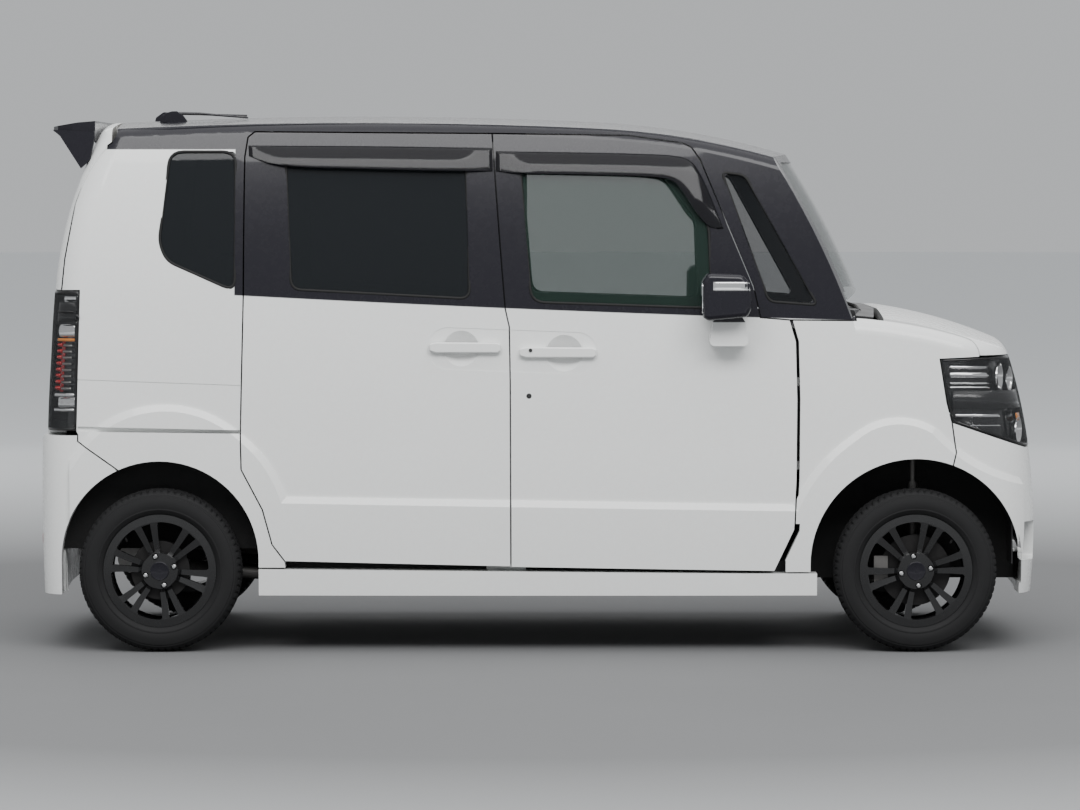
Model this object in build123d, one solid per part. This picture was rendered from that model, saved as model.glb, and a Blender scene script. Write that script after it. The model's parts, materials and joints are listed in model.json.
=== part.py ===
from build123d import *
import math
import os

# Kei wagon, millimetres. +X is forward, +Y is the car's left, +Z is up.
# The ground is z = 0 and the origin is midway between the axles.

# Main sizes
LENGTH = 3395.0
HALF = LENGTH / 2
HEIGHT = 1793.0
HALF_WIDTH = 724.5          # side skin at its widest, without the lower band
WHEELBASE = 2520.0
TRACK = 1305.0
BODY_LOW = 190.0
GAP = 5.0                   # gap between two neighbouring panels
BAND_OUT = 15.0             # how far the lower band stands out of the side
BUMPER_OUT = 18.1           # how far the rear bumper stands out of the tailgate
FIT = 0.1                   # radial clearance of pins and axles
SEAT_GAP = 0.3              # gap where a piece rests on what carries it
SUPPORT_X = 1540.0          # front face of the crossbar that carries grille and lamps
WALL = 58.0                 # doors and side walls, skin to trim
ROOF_WALL = 36.0
TAIL_WALL = 60.0
BONNET_WALL = 34.0
FENDER_WALL = 26.0
NOSE_WALL = 52.0
GLASS = 6.0
GLASS_IN = 5.0              # glass sits this far inside the skin
FLOOR_TOP = 300.0
FLOOR_LOW = 262.0
FIREWALL_X = 965.0

# radii of the big curved surfaces
SIDE_PLAN_R = 45000.0
NOSE_PLAN_R = 5200.0
TAIL_PLAN_R = 5000.0
ROOF_CROWN_R = 6000.0
BONNET_CROWN_R = 6000.0
SCREEN_PLAN_R = 2700.0
NOSE_CORNER_R = 190.0
TAIL_CORNER_R = 100.0
ROOF_EDGE_R = 50.0
BONNET_EDGE_R = 60.0

# wheels
TYRE_R = 272.0
TYRE_WIDTH = 155.0
RIM_R = 177.8
RIM_FLANGE_R = 188.0
BOLT_PCD = 100.0
WHEEL_X = WHEELBASE / 2
WHEEL_Y = TRACK / 2
ARCH_R = 330.0
ARCH_Z = 308.0
FRONT_HOUSE_R = 352.0
FRONT_HOUSE_Y = 415.0
REAR_HOUSE_R = 340.0
REAR_HOUSE_Y = 548.0

# hinges
DOOR_PIN_X = 805.0
DOOR_PIN_Y = 705.0
DOOR_PIN_R = 4.0
DOOR_PIN_Z = (620.0, 900.0)
GATE_PIN_X = -1450.0
GATE_PIN_Z = 1738.0
GATE_LUG_Y = 400.0
BONNET_PIN_X = 1180.0
BONNET_PIN_Z = 1078.0
BONNET_SWING_R = 63.5
BONNET_LUG_Y = 560.0

# door handles: middle of the cup (x, z), ends of the bar, and the oval around both
CUP_R = 63.5
CUP_DEEP = 24.0
HANDLES = {"front": ((88, 1001), (-62, 194)), "slide": ((-255, 1017), (-361, -123))}
HANDLE_OVAL = [(-367, 1086), (-367, 946), (198, 925), (198, 1065)]
HANDLE_OUT = 736.0          # outer face of the bars

os.makedirs("parts", exist_ok=True)


# Helpers
def chain(start, steps):
    """Edges in a row: "line" to a point, "arc" through one point to another, "smooth" arc."""
    edges = []
    here = start
    for step in steps:
        kind, points = step[0], step[1:]
        if kind == "arc":
            edges.append(ThreePointArc(here, points[0], points[1]).edge())
        elif kind == "smooth":
            edges.append(TangentArc(here, points[0], tangent=edges[-1] % 1).edge())
        else:
            edges.append(Line(here, points[0]).edge())
        here = points[-1]
    return edges


def turned(edges, axis, half_angle):
    face = Face(Wire(edges))
    return revolve(face.rotate(axis, -half_angle), axis, 2 * half_angle)


def flat(points, radii=None):
    """A face from a closed outline, with one radius for each corner (0 keeps it sharp)."""
    points = [(p[0], p[1]) for p in points]
    area = sum(points[i - 1][0] * p[1] - p[0] * points[i - 1][1] for i, p in enumerate(points))
    if area < 0:
        points = points[::-1]
        radii = radii[::-1] if radii else None
    if radii is None:
        return Face(Wire.make_polygon([Vector(p[0], p[1], 0) for p in points], close=True))
    face = Face(FilletPolyline(*points, radius=radii, close=True).wire())
    return face if face.normal_at().Z > 0 else -face


def side_prism(points, y_low, y_high, radii=None):
    """An (x, z) outline pushed through from y_low to y_high."""
    plane = Plane(origin=(0, y_high, 0), x_dir=(1, 0, 0), z_dir=(0, -1, 0))
    return extrude(plane * flat(points, radii), y_high - y_low)


def front_prism(points, x_low, x_high, radii=None):
    """A (y, z) outline pushed through from x_low to x_high."""
    plane = Plane(origin=(x_low, 0, 0), x_dir=(0, 1, 0), z_dir=(1, 0, 0))
    return extrude(plane * flat(points, radii), x_high - x_low)


def plan_prism(points, z_low, z_high, radii=None):
    """An (x, y) outline pushed through from z_low to z_high."""
    return extrude(Plane.XY.offset(z_low) * flat(points, radii), z_high - z_low)


def block(x0, x1, y0, y1, z0, z1):
    return Pos((x0 + x1) / 2, (y0 + y1) / 2, (z0 + z1) / 2) * Box(x1 - x0, y1 - y0, z1 - z0)


def post(x, y, z0, z1, r):
    return Pos(x, y, (z0 + z1) / 2) * Cylinder(r, z1 - z0)


def rod_y(x, z, y0, y1, r):
    return Pos(x, (y0 + y1) / 2, z) * Rot(90, 0, 0) * Cylinder(r, y1 - y0)


def rod_x(y, z, x0, x1, r):
    return Pos((x0 + x1) / 2, y, z) * Rot(0, 90, 0) * Cylinder(r, x1 - x0)


def bar(a, b, r):
    """A round bar from point a to point b."""
    a, b = Vector(*a), Vector(*b)
    plane = Plane(origin=a, z_dir=(b - a))
    return extrude(plane * Circle(r), (b - a).length)


def strap(points, width, y_low, y_high):
    """A flat bracket that follows (x, z) points, with round ends."""
    shape = rod_y(points[0][0], points[0][1], y_low, y_high, width / 2)
    for (x0, z0), (x1, z1) in zip(points, points[1:]):
        long = math.hypot(x1 - x0, z1 - z0)
        nx, nz = (z1 - z0) / long * width / 2, -(x1 - x0) / long * width / 2
        shape = shape + side_prism([(x0 + nx, z0 + nz), (x1 + nx, z1 + nz), (x1 - nx, z1 - nz),
                                    (x0 - nx, z0 - nz)], y_low, y_high)
        shape = shape + rod_y(x1, z1, y_low, y_high, width / 2)
    return shape


def mirrored(shape):
    return shape.mirror(Plane.XZ)


def only_solids(shape, smallest=2000.0):
    """The solids of a cut, without slivers."""
    return [s for s in shape.solids() if s.volume > smallest]


def save(name, *shapes):
    solids = []
    for shape in shapes:
        solids.extend(only_solids(shape))
    whole = solids[0] if len(solids) == 1 else Compound(solids)
    whole.label = name
    export_step(whole, "parts/" + name + ".step")
    print(name, len(solids))


# Outer surfaces
# Each one is the space outside a surface, moved in by `inset`; the body is a block
# with all of these taken away.
def outside_side(inset):
    def at(width, z):
        return (0, -width + inset, z)
    edges = chain(at(700, 100), [
        ("arc", at(HALF_WIDTH, 660), at(709, 1170)),
        ("arc", at(681, 1430), at(603, 1780)),
        ("line", at(560, 1900)),
        ("line", (0, -1100, 1900)),
        ("line", (0, -1100, 100)),
        ("line", at(700, 100)),
    ])
    return turned(edges, Axis((0, SIDE_PLAN_R - HALF_WIDTH, 0), (0, 0, 1)), 3.2)


def outside_nose(inset):
    def at(back, z):
        return (HALF - back - inset, 0, z)
    edges = chain(at(22.5, 100), [
        ("arc", at(0, 400), at(25.5, 720)),
        ("smooth", at(107.5, 1040)),
        ("line", at(157.5, 1150)),
        ("line", (2300, 0, 1150)),
        ("line", (2300, 0, 100)),
        ("line", at(22.5, 100)),
    ])
    return turned(edges, Axis((HALF - NOSE_PLAN_R, 0, 0), (0, 0, 1)), 11)


def outside_tail(inset):
    def at(fore, z):
        return (-HALF + fore + inset, 0, z)
    edges = chain(at(29.5, 100), [
        ("arc", at(21.5, 760), at(47.5, 1210)),
        ("smooth", at(242.5, 1800)),
        ("line", at(297.5, 1900)),
        ("line", (-2300, 0, 1900)),
        ("line", (-2300, 0, 100)),
        ("line", at(29.5, 100)),
    ])
    return turned(edges, Axis((-HALF + TAIL_PLAN_R, 0, 0), (0, 0, 1)), 11)


def outside_roof(inset):
    def at(x, down):
        return (x, 0, HEIGHT - down - inset)
    edges = chain(at(-1900, 53), [
        ("arc", at(-560, 0), at(200, 19)),
        ("smooth", at(900, 145)),
        ("line", at(1900, 393)),
        ("line", (1900, 0, 2100)),
        ("line", (-1900, 0, 2100)),
        ("line", at(-1900, 53)),
    ])
    return turned(edges, Axis((0, 0, HEIGHT - ROOF_CROWN_R), (1, 0, 0)), 9)


def outside_bonnet(inset):
    def at(x, z):
        return (x, 0, z - inset)
    edges = chain(at(700, 1138), [
        ("arc", at(1300, 1120), at(1900, 850)),
        ("line", (1900, 0, 2000)),
        ("line", (700, 0, 2000)),
        ("line", at(700, 1138)),
    ])
    return turned(edges, Axis((0, 0, 1140 - BONNET_CROWN_R), (1, 0, 0)), 16)


def outside_screen(inset):
    def at(x, z):
        return (x - inset, 0, z)
    edges = chain(at(1215, 850), [
        ("arc", at(1010, 1400), at(800, 1740)),
        ("line", at(780, 1900)),
        ("line", (2300, 0, 1900)),
        ("line", (2300, 0, 850)),
        ("line", at(1215, 850)),
    ])
    return turned(edges, Axis((1130 - SCREEN_PLAN_R, 0, 0), (0, 0, 1)), 20)


def skin(side=0.0, nose=0.0, tail=0.0, roof=0.0, bonnet=0.0, screen=0.0, low=BODY_LOW):
    """The body inside its surfaces, each moved in by its own amount."""
    body = block(-1750, 1750, -800, 800, low, 1890)
    flank = outside_side(side)
    body = body - flank - mirrored(flank) - outside_nose(nose) - outside_tail(tail)
    body = body - outside_roof(roof)
    return body - (outside_screen(screen) & outside_bonnet(bonnet))


def between_sides(depth):
    """All the room between the two side surfaces, `depth` under the skin."""
    flank_outside = outside_side(depth)
    return block(-1850, 1850, -800, 800, 50, 1880) - flank_outside - mirrored(flank_outside)


def edges_where(shape, test):
    return [e for e in shape.edges() if test(e.bounding_box())]


def rounded_corners(body, nose_r, tail_r):
    def upright(box, x_low, x_high):
        middle = abs(box.min.Y + box.max.Y) / 2
        return box.min.X > x_low and box.max.X < x_high and middle > 560 and box.size.Z > 150
    if nose_r:
        body = body.fillet(nose_r, edges_where(body, lambda b: upright(b, 1400, 1750)))
    if tail_r:
        body = body.fillet(tail_r, edges_where(body, lambda b: upright(b, -1750, -1380)))
    return body


def on_roof_edge(box):
    across = box.size.Y > 300 and box.min.X > 700
    seam = box.size.Y > 1000 and box.min.X > -1000
    return box.min.Z > 1600 and box.size.Z < 150 and not across and not seam


def on_bonnet_edge(box):
    across = box.size.Y > 300 and box.max.X < 1300
    return box.min.Z > 900 and box.max.Z < 1160 and box.min.X > 1000 and not across


outer = rounded_corners(skin(), NOSE_CORNER_R, TAIL_CORNER_R)
outer = outer.fillet(ROOF_EDGE_R, edges_where(outer, on_roof_edge))
outer = outer.fillet(BONNET_EDGE_R, edges_where(outer, on_bonnet_edge))

# The lower band and the wheel flares stand out of the side. Their edge is an outline in (x, z).
BAND_EDGE = [
    ("line", (-1560, 640, 0)),
    ("line", (-1500, 722, 0)),
    ("arc", (-1255, 826, 0), (-990, 732, 0)),
    ("arc", (-900, 640, 0), (-838, 520, 0)),
    ("line", (852, 494, 0)),
    ("arc", (935, 625, 0), (1050, 728, 0)),
    ("arc", (1186, 783, 0), (1325, 748, 0)),
    ("arc", (1460, 640, 0), (1640, 575, 0)),
    ("line", (1640, 100, 0)),
    ("line", (-1560, 100, 0)),
]


def band():
    face = Face(Wire(chain((-1560, 100, 0), BAND_EDGE)))
    plane = Plane(origin=(0, -640, 0), x_dir=(1, 0, 0), z_dir=(0, -1, 0))
    raised = extrude(plane * face, 140, dir=(0, -1, 0))
    grown = rounded_corners(skin(side=-BAND_OUT), NOSE_CORNER_R, TAIL_CORNER_R)
    piece = raised & grown
    rim = [e for e in piece.edges() if e.bounding_box().max.Y < -690
           and e.bounding_box().max.Z > 480 and e.bounding_box().size.X > 8]
    return chamfer(rim, 10, 22)


def bumper_bulge():
    """The rear bumper stands out of the tail, with a sloping shoulder."""
    grown = rounded_corners(skin(tail=-BUMPER_OUT), NOSE_CORNER_R, TAIL_CORNER_R)
    piece = grown - block(-1500, 1800, -900, 900, 0, 2000) - block(-1800, -1400, -900, 900, 722.5, 2000)
    slope = side_prism([(-1800, 640), (-1697, 655), (-1650, 723), (-1650, 760), (-1800, 760)], -900, 900)
    return piece - slope


right_band = band()
body = outer + [right_band, mirrored(right_band), bumper_bulge()]

# Panel outlines
# (x, z) points along the middle of each gap, right side seen from outside.
B_LINE = [(-90, 286), (-92, 900), (-95, 1085), (-108.6, 1145), (-143, 1596), (-151.5, 1728)]
FRONT_DOOR = [
    (-151.5, 1728), (300, 1722), (480, 1697), (512, 1682), (541, 1642), (717, 1219),
    (740, 1116), (839, 1108), (860, 1036), (865, 844), (863, 577), (855, 410), (789, 270),
]
SLIDING_DOOR = [
    (-945, 1734), (-968, 1716), (-978, 1650), (-980, 1188), (-990, 737), (-987, 610),
    (-917, 477), (-885, 360), (-842, 303),
]
FENDER = [
    (700, 266), (803, 270), (855, 410), (863, 577), (865, 844), (860, 1036), (839, 1108),
    (1060, 1106), (1060, 1200), (1520, 1200), (1520, 985), (1339, 977), (1362, 833),
    (1379, 768), (1393, 667), (1380, 613), (1260, 500), (1100, 266),
]
HEADLAMP = [(1339, 977), (1520, 985), (1740, 990), (1740, 676), (1632, 681), (1379, 768), (1362, 833)]
FRONT_BUMPER = [
    (1740, 676), (1632, 681), (1379, 768), (1393, 667), (1380, 613), (1300, 500),
    (1300, 150), (1740, 150),
]
REAR_BUMPER = [
    (-1740, 725), (-1533, 725), (-1533, 703), (-1408, 615), (-1300, 500), (-1300, 150),
    (-1740, 150),
]
TAIL_LAMP = [(-1527, 1205), (-1740, 1205), (-1740, 736), (-1539, 736)]
GATE_UPPER = [
    (-1425, 1900), (-1425, 1762), (-1474, 1700), (-1477, 1677), (-1546, 1493),
    (-1579, 1310), (-1589, 1205), (-1760, 1205), (-1760, 1900),
]
SKIRT = [(-960, 281), (700, 266), (960, 266), (960, 150), (-960, 150)]
BODY_SIDE = [
    (-1408, 615), (-1533, 703), (-1533, 725), (-1539, 736), (-1527, 1205), (-1589, 1205),
    (-1579, 1310), (-1546, 1493), (-1477, 1677), (-1474, 1700), (-1425, 1762), (-1425, 1900),
    (900, 1900), (1060, 1300), (1060, 1106), (839, 1108), (740, 1116), (717, 1219), (541, 1642),
    (512, 1682), (480, 1697), (300, 1722), (-151.5, 1728), (-945, 1734), (-968, 1716),
    (-978, 1650), (-980, 1188), (-990, 737), (-987, 610), (-917, 477), (-885, 360),
    (-842, 303), (-838, 281), (-1100, 281), (-1260, 500),
]
ROOF = [
    (-1500, 1742), (-945, 1740), (-151.5, 1734), (300, 1728), (490, 1703), (560, 1684),
    (700, 1630), (780, 1600), (900, 1560), (950, 1900), (-1500, 1900),
]
LAMP_INNER_Y = 418.0
GATE_HALF = 597.0
ROOF_SEAM_Y = 587.0
GRILLE_LOW = 815.0
BONNET_LOW = 987.0
GRILLE_SLOTS = (828, 852, 906, 930, 954)
GRILLE_SLOT_TALL = 15.0
GRILLE_SLOT_Y = 385.0

# window openings, (x, z)
DOOR_WINDOW = [(-62, 1650), (330, 1645), (440, 1600), (568, 1440), (579, 1148), (-22, 1168)]
DOOR_WINDOW_R = [30, 60, 60, 60, 25, 30]
SLIDE_WINDOW = [(-842, 1655), (-240, 1650), (-226, 1179), (-821, 1210)]
SLIDE_WINDOW_R = [40, 30, 35, 40]
QUARTER_WINDOW = [(-1228, 1668), (-1262, 1367), (-1236, 1304), (-1008, 1203), (-1008, 1668)]
QUARTER_WINDOW_R = [40, 60, 60, 15, 15]
FRONT_PANE = [(612, 1600), (690, 1590), (930, 1158), (768, 1170)]
FRONT_PANE_R = [20, 25, 18, 18]
# (y, z)
SCREEN_OPENING = [(-640, 1141), (640, 1141), (586, 1632), (-586, 1632)]
GATE_OPENING = [(-560, 1250), (560, 1250), (520, 1600), (-520, 1600)]


def moved_outline(points, amount):
    """The outline with every side moved out by `amount` (in, when negative)."""
    points = [(p[0], p[1]) for p in points]
    count = len(points)
    area = sum(points[i - 1][0] * points[i][1] - points[i][0] * points[i - 1][1] for i in range(count))
    turn = 1 if area > 0 else -1
    lines = []
    for i in range(count):
        (x0, z0), (x1, z1) = points[i], points[(i + 1) % count]
        long = math.hypot(x1 - x0, z1 - z0)
        nx, nz = turn * (z1 - z0) / long, -turn * (x1 - x0) / long
        lines.append((nx, nz, nx * x0 + nz * z0 + amount))
    moved = []
    for i in range(count):
        (a, b, c), (d, e, f) = lines[i - 1], lines[i]
        det = a * e - b * d
        if abs(det) < 1e-6:
            moved.append((points[i][0] + a * amount, points[i][1] + b * amount))
        else:
            moved.append(((c * e - b * f) / det, (a * f - c * d) / det))
    return moved


def grown_outline(points, amount, y_low, y_high):
    """A side prism whose outline is moved out (or in, when negative) by `amount`."""
    return side_prism(moved_outline(points, amount), y_low, y_high)


def zone(points, part, y_low=-900.0, y_high=0.0):
    """The zone of a panel: "own" is half a gap smaller than its outline, "cut" half a gap larger."""
    return grown_outline(points, -GAP / 2 if part == "own" else GAP / 2, y_low, y_high)


# The rear edge of the front door is turned about its own hinge: radius, height.
DOOR_EDGE = [(895, 150), (895, 286), (897, 900), (900, 1085), (913.6, 1145), (950, 1596), (961.8, 1728),
             (966, 1800)]


def door_turn(extra):
    points = [(DOOR_PIN_X - r - extra, z) for r, z in DOOR_EDGE]
    points = [(DOOR_PIN_X, 150)] + points + [(DOOR_PIN_X, 1800)]
    face = Plane(origin=(0, -DOOR_PIN_Y, 0), x_dir=(1, 0, 0), z_dir=(0, -1, 0)) * flat(points)
    axis = Axis((DOOR_PIN_X, -DOOR_PIN_Y, 0), (0, 0, 1))
    back = revolve(face.rotate(axis, -30), axis, 60)
    return back + block(DOOR_PIN_X - 60, 900, -900, 0, 150, 1800)


# Hollows
cabin = skin(side=WALL, tail=TAIL_WALL, roof=ROOF_WALL, screen=26, bonnet=60, low=100)
cabin = rounded_corners(cabin, 0, 40) & block(-1750, FIREWALL_X, -800, 800, 0, 2000)
engine_bay = skin(side=FENDER_WALL, nose=NOSE_WALL, bonnet=BONNET_WALL, low=100)
engine_bay = rounded_corners(engine_bay, NOSE_CORNER_R - 40, 0) & block(FIREWALL_X, 1750, -800, 800, 100, 1200)


def arch(x):
    opening = rod_y(x, ARCH_Z, -900, -520, ARCH_R) + block(x - ARCH_R, x + ARCH_R, -900, -520, 100, ARCH_Z)
    return opening + mirrored(opening)


def house(x, radius, y_in, wall, side_in):
    """A wheel house: a half drum with an inner wall, open outward and downward."""
    drum = rod_y(x, ARCH_Z - 14, -900, -y_in, radius + wall)
    drum = drum + block(x - radius - wall, x + radius + wall, -900, -y_in, 225, ARCH_Z - 14)
    room = rod_y(x, ARCH_Z - 14, -900, -y_in - wall, radius)
    room = room + block(x - radius, x + radius, -900, -y_in - wall, 100, ARCH_Z - 14)
    shell = (drum - room) & skin(side=side_in, nose=NOSE_WALL, low=225)
    return shell, drum, room


FENDER_THICK = FENDER_WALL + 4
front_house, front_drum, front_room = house(WHEEL_X, FRONT_HOUSE_R, FRONT_HOUSE_Y, 8, FENDER_THICK + SEAT_GAP)
rear_house, rear_drum, rear_room = house(-WHEEL_X, REAR_HOUSE_R, REAR_HOUSE_Y, 8, WALL + SEAT_GAP)


def house_seat(x, radius, y_in, wall, depth, low, high):
    """Room in a bumper for the wheel house, `depth` under the skin."""
    grown = radius + wall + SEAT_GAP
    drum = rod_y(x, ARCH_Z - 14, -900, -y_in + SEAT_GAP, grown)
    drum = drum + block(x - grown, x + grown, -900, -y_in + SEAT_GAP, 225 - SEAT_GAP, ARCH_Z - 14)
    return drum & block(low, high, -900, 0, 150, 800) & between_sides(depth)

wall = body - [cabin, engine_bay, arch(WHEEL_X), arch(-WHEEL_X), front_room, mirrored(front_room)]
right = wall & block(-1800, 1800, -900, 0, 0, 2000)
print("wall", wall.is_valid, len(wall.solids()))

glass_sheet = skin(side=GLASS_IN, tail=GLASS_IN, screen=3, bonnet=3)
glass_sheet = glass_sheet - skin(side=GLASS_IN + GLASS, tail=GLASS_IN + GLASS, screen=3 + GLASS, bonnet=-50)


def pane(points, radii):
    return glass_sheet & side_prism(points, -900, -450, radii)


def opening(points, radii):
    return side_prism(points, -900, -450, radii)


# Doors of the right side
door_glass_hole = opening(DOOR_WINDOW, DOOR_WINDOW_R)
slide_glass_hole = opening(SLIDE_WINDOW, SLIDE_WINDOW_R)
quarter_hole = opening(QUARTER_WINDOW, QUARTER_WINDOW_R)
pane_hole = opening(FRONT_PANE, FRONT_PANE_R)

front_outline = FRONT_DOOR + [(-190, 286), (-190, 1728)]
slide_outline = SLIDING_DOOR + B_LINE
hinge_slots = []
hinge_arms = []
for z in DOOR_PIN_Z:
    sweep = post(DOOR_PIN_X, -DOOR_PIN_Y, z - 19, z + 19, 8)
    quarter = post(DOOR_PIN_X, -DOOR_PIN_Y, z - 19, z + 19, 100)
    quarter = quarter & block(DOOR_PIN_X - 12, 960, -DOOR_PIN_Y - 4.4, -500, 0, 2000)
    hinge_slots.append(sweep + quarter)
    arm = post(DOOR_PIN_X, -DOOR_PIN_Y, z - 14, z + 14, 6)
    arm = arm + block(DOOR_PIN_X - 6, DOOR_PIN_X + 6, -DOOR_PIN_Y, -628, z - 14, z + 14)
    arm = arm + block(DOOR_PIN_X - 6, 900, -640, -622, z - 14, z + 14)
    hinge_arms.append(arm + post(DOOR_PIN_X, -DOOR_PIN_Y, z - 34, z + 34, DOOR_PIN_R))

front_door = right & zone(front_outline, "own") & door_turn(-GAP / 2)
front_door = front_door - door_glass_hole - block(-300, 500, -562, 0, 1690, 1800)
for slot, z in zip(hinge_slots, DOOR_PIN_Z):
    front_door = front_door - slot - post(DOOR_PIN_X, -DOOR_PIN_Y, z - 35, z + 35, DOOR_PIN_R + FIT)

front_cut = zone(front_outline, "cut") & door_turn(GAP / 2)
sliding_door = (right & zone(slide_outline, "own")) - slide_glass_hole
sliding_door = sliding_door - door_turn(GAP / 2)
# Handles: an oval set in, a round cup, and a bar across the cup
oval = side_prism(HANDLE_OVAL, -900, -600, [68, 68, 68, 68]) & outside_side(1.5)


def with_handle(door, kind):
    (cup_x, cup_z), (rear, front) = HANDLES[kind]
    ball_r = (CUP_R ** 2 + CUP_DEEP ** 2) / (2 * CUP_DEEP)
    cup = Pos(cup_x, -HALF_WIDTH + 6 - ball_r + CUP_DEEP, cup_z) * Sphere(ball_r)
    z = cup_z + 1
    outline = [(rear, z - 12), (rear + 22, z - 19), (front - 10, z - 19), (front, z - 12), (front, z + 10),
               (front - 12, z + 15), (rear + 24, z + 17), (rear, z + 12)]
    bar = side_prism(outline, -HANDLE_OUT, -HALF_WIDTH + 9, [8, 14, 7, 6, 6, 7, 14, 8])
    face = [e for e in bar.edges() if e.bounding_box().max.Y < -HANDLE_OUT + 1]
    bar = chamfer(face, 4)
    finger_room = block(cup_x - CUP_R + 2, cup_x + CUP_R - 2, -HALF_WIDTH + 1, -600, cup_z - 80, cup_z + 80)
    return (door - oval - cup) + (bar - finger_room)


front_door = with_handle(front_door, "front")
sliding_door = with_handle(sliding_door, "slide")
# The rail slot above the rear wheel, for the sliding door's centre arm
rail = side_prism([(-1533, 736), (-990, 730), (-990, 742), (-1533, 753)], -900, -690)

# Root panels
screen_hole = front_prism(SCREEN_OPENING, 760, 1400, [70, 70, 60, 60])
bonnet_plan = [(1152, -641), (1440, -655), (1492, -690), (1528, -770), (1760, -770), (1760, 770),
               (1528, 770), (1492, 690), (1440, 655), (1152, 641)]
bonnet_swing = rod_y(BONNET_PIN_X, BONNET_PIN_Z, -900, 900, BONNET_SWING_R)


def bonnet_zone(part):
    gap = -GAP / 2 if part == "own" else GAP / 2
    return plan_prism(moved_outline(bonnet_plan, gap), BONNET_LOW - gap, 1400)


bonnet = wall & bonnet_zone("own")
bonnet = bonnet & (bonnet_swing + block(BONNET_PIN_X, 1760, -800, 800, 900, 1300))
for y in (-BONNET_LUG_Y, BONNET_LUG_Y):
    slot = rod_y(BONNET_PIN_X, BONNET_PIN_Z, y - 9, y + 9, 11)
    slot = slot + block(BONNET_PIN_X - 80, BONNET_PIN_X + 11, y - 9, y + 9, 900, BONNET_PIN_Z)
    bonnet = bonnet - slot - rod_y(BONNET_PIN_X, BONNET_PIN_Z, y - 22, y + 22, DOOR_PIN_R + FIT)

lamp_zone = zone(HEADLAMP, "own", -900, -LAMP_INNER_Y - GAP / 2)
lamp_cut = zone(HEADLAMP, "cut", -900, -LAMP_INNER_Y + GAP / 2)
headlamp = right & lamp_zone
# feet of the lamp against the crossbar: height, front end
for z, front in ((760, 1605), (900, 1570)):
    headlamp = headlamp + block(SUPPORT_X + SEAT_GAP, front, -545, -515, z - 8, z + 8)

fender = (right & zone(FENDER, "own")) - between_sides(FENDER_THICK)
fender = fender - lamp_cut - bonnet_zone("cut")
# the door's lower front corner swings in behind this edge
fender = fender - block(795, 826, -HALF_WIDTH + 1, -600, 262, 306)
# behind the fender's edge there is room for the door's front edge, which swings in
fender = fender - grown_outline(front_outline, GAP / 2 + 6, -HALF_WIDTH + 5, 0)
fender = fender - (grown_outline(front_outline, GAP / 2 + 14, -HALF_WIDTH - 3, 0) - block(700, 900, -900, 0, 430, 1300))
fender = fender - block(700, 1160, -641, 0, 900, 1300) - block(1440, 1800, -420, 0, 0, 2000)

chin = zone(FRONT_BUMPER, "own") + block(1500, 1740, -LAMP_INNER_Y + GAP / 2, 0, 600, GRILLE_LOW - GAP / 2)
air_intake = front_prism([(-400, 262), (100, 262), (100, 430), (-440, 430)], 1400, 1750, [25, 0, 0, 25])
fog_hole = front_prism([(-640, 300), (-505, 300), (-490, 430), (-640, 430)], 1400, 1750, [18, 18, 18, 18])
half_bumper = (right & chin) - air_intake - fog_hole
half_bumper = half_bumper - house_seat(WHEEL_X, FRONT_HOUSE_R, FRONT_HOUSE_Y, 8, FENDER_THICK - 1, 1390, 1740)
front_bumper = half_bumper + mirrored(half_bumper)
grille = wall & block(1440, 1740, -LAMP_INNER_Y + GAP / 2, LAMP_INNER_Y - GAP / 2, GRILLE_LOW + GAP / 2,
                      BONNET_LOW - GAP / 2)
for z in GRILLE_SLOTS:
    for y_low, y_high in ((-GRILLE_SLOT_Y, -12), (12, GRILLE_SLOT_Y)):
        grille = grille - block(1400, 1800, y_low, y_high, z, z + GRILLE_SLOT_TALL)
for y in (-300, 300):
    grille = grille + block(SUPPORT_X + SEAT_GAP, 1585, y - 20, y + 20, 882, 900)

lamp_own = zone(TAIL_LAMP, "own", -900, -GATE_HALF - GAP / 2)
lamp_room = zone(TAIL_LAMP, "cut", -900, -GATE_HALF + GAP / 2)
tail_lamp = right & lamp_own
for z in (830, 1120):
    edge_x = -1539 + 12 * (z - 736) / 469
    tail_lamp = tail_lamp + block(edge_x - 8, edge_x + GAP / 2 - SEAT_GAP - 0.2, -694, -678, z - 7, z + 7)

rear_bumper = wall & zone(REAR_BUMPER, "own", -900, 900)
rear_seat = house_seat(-WHEEL_X, REAR_HOUSE_R, REAR_HOUSE_Y, 8, WALL - 1, -1740, -1500)
rear_bumper = rear_bumper - rear_seat - mirrored(rear_seat)

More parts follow.
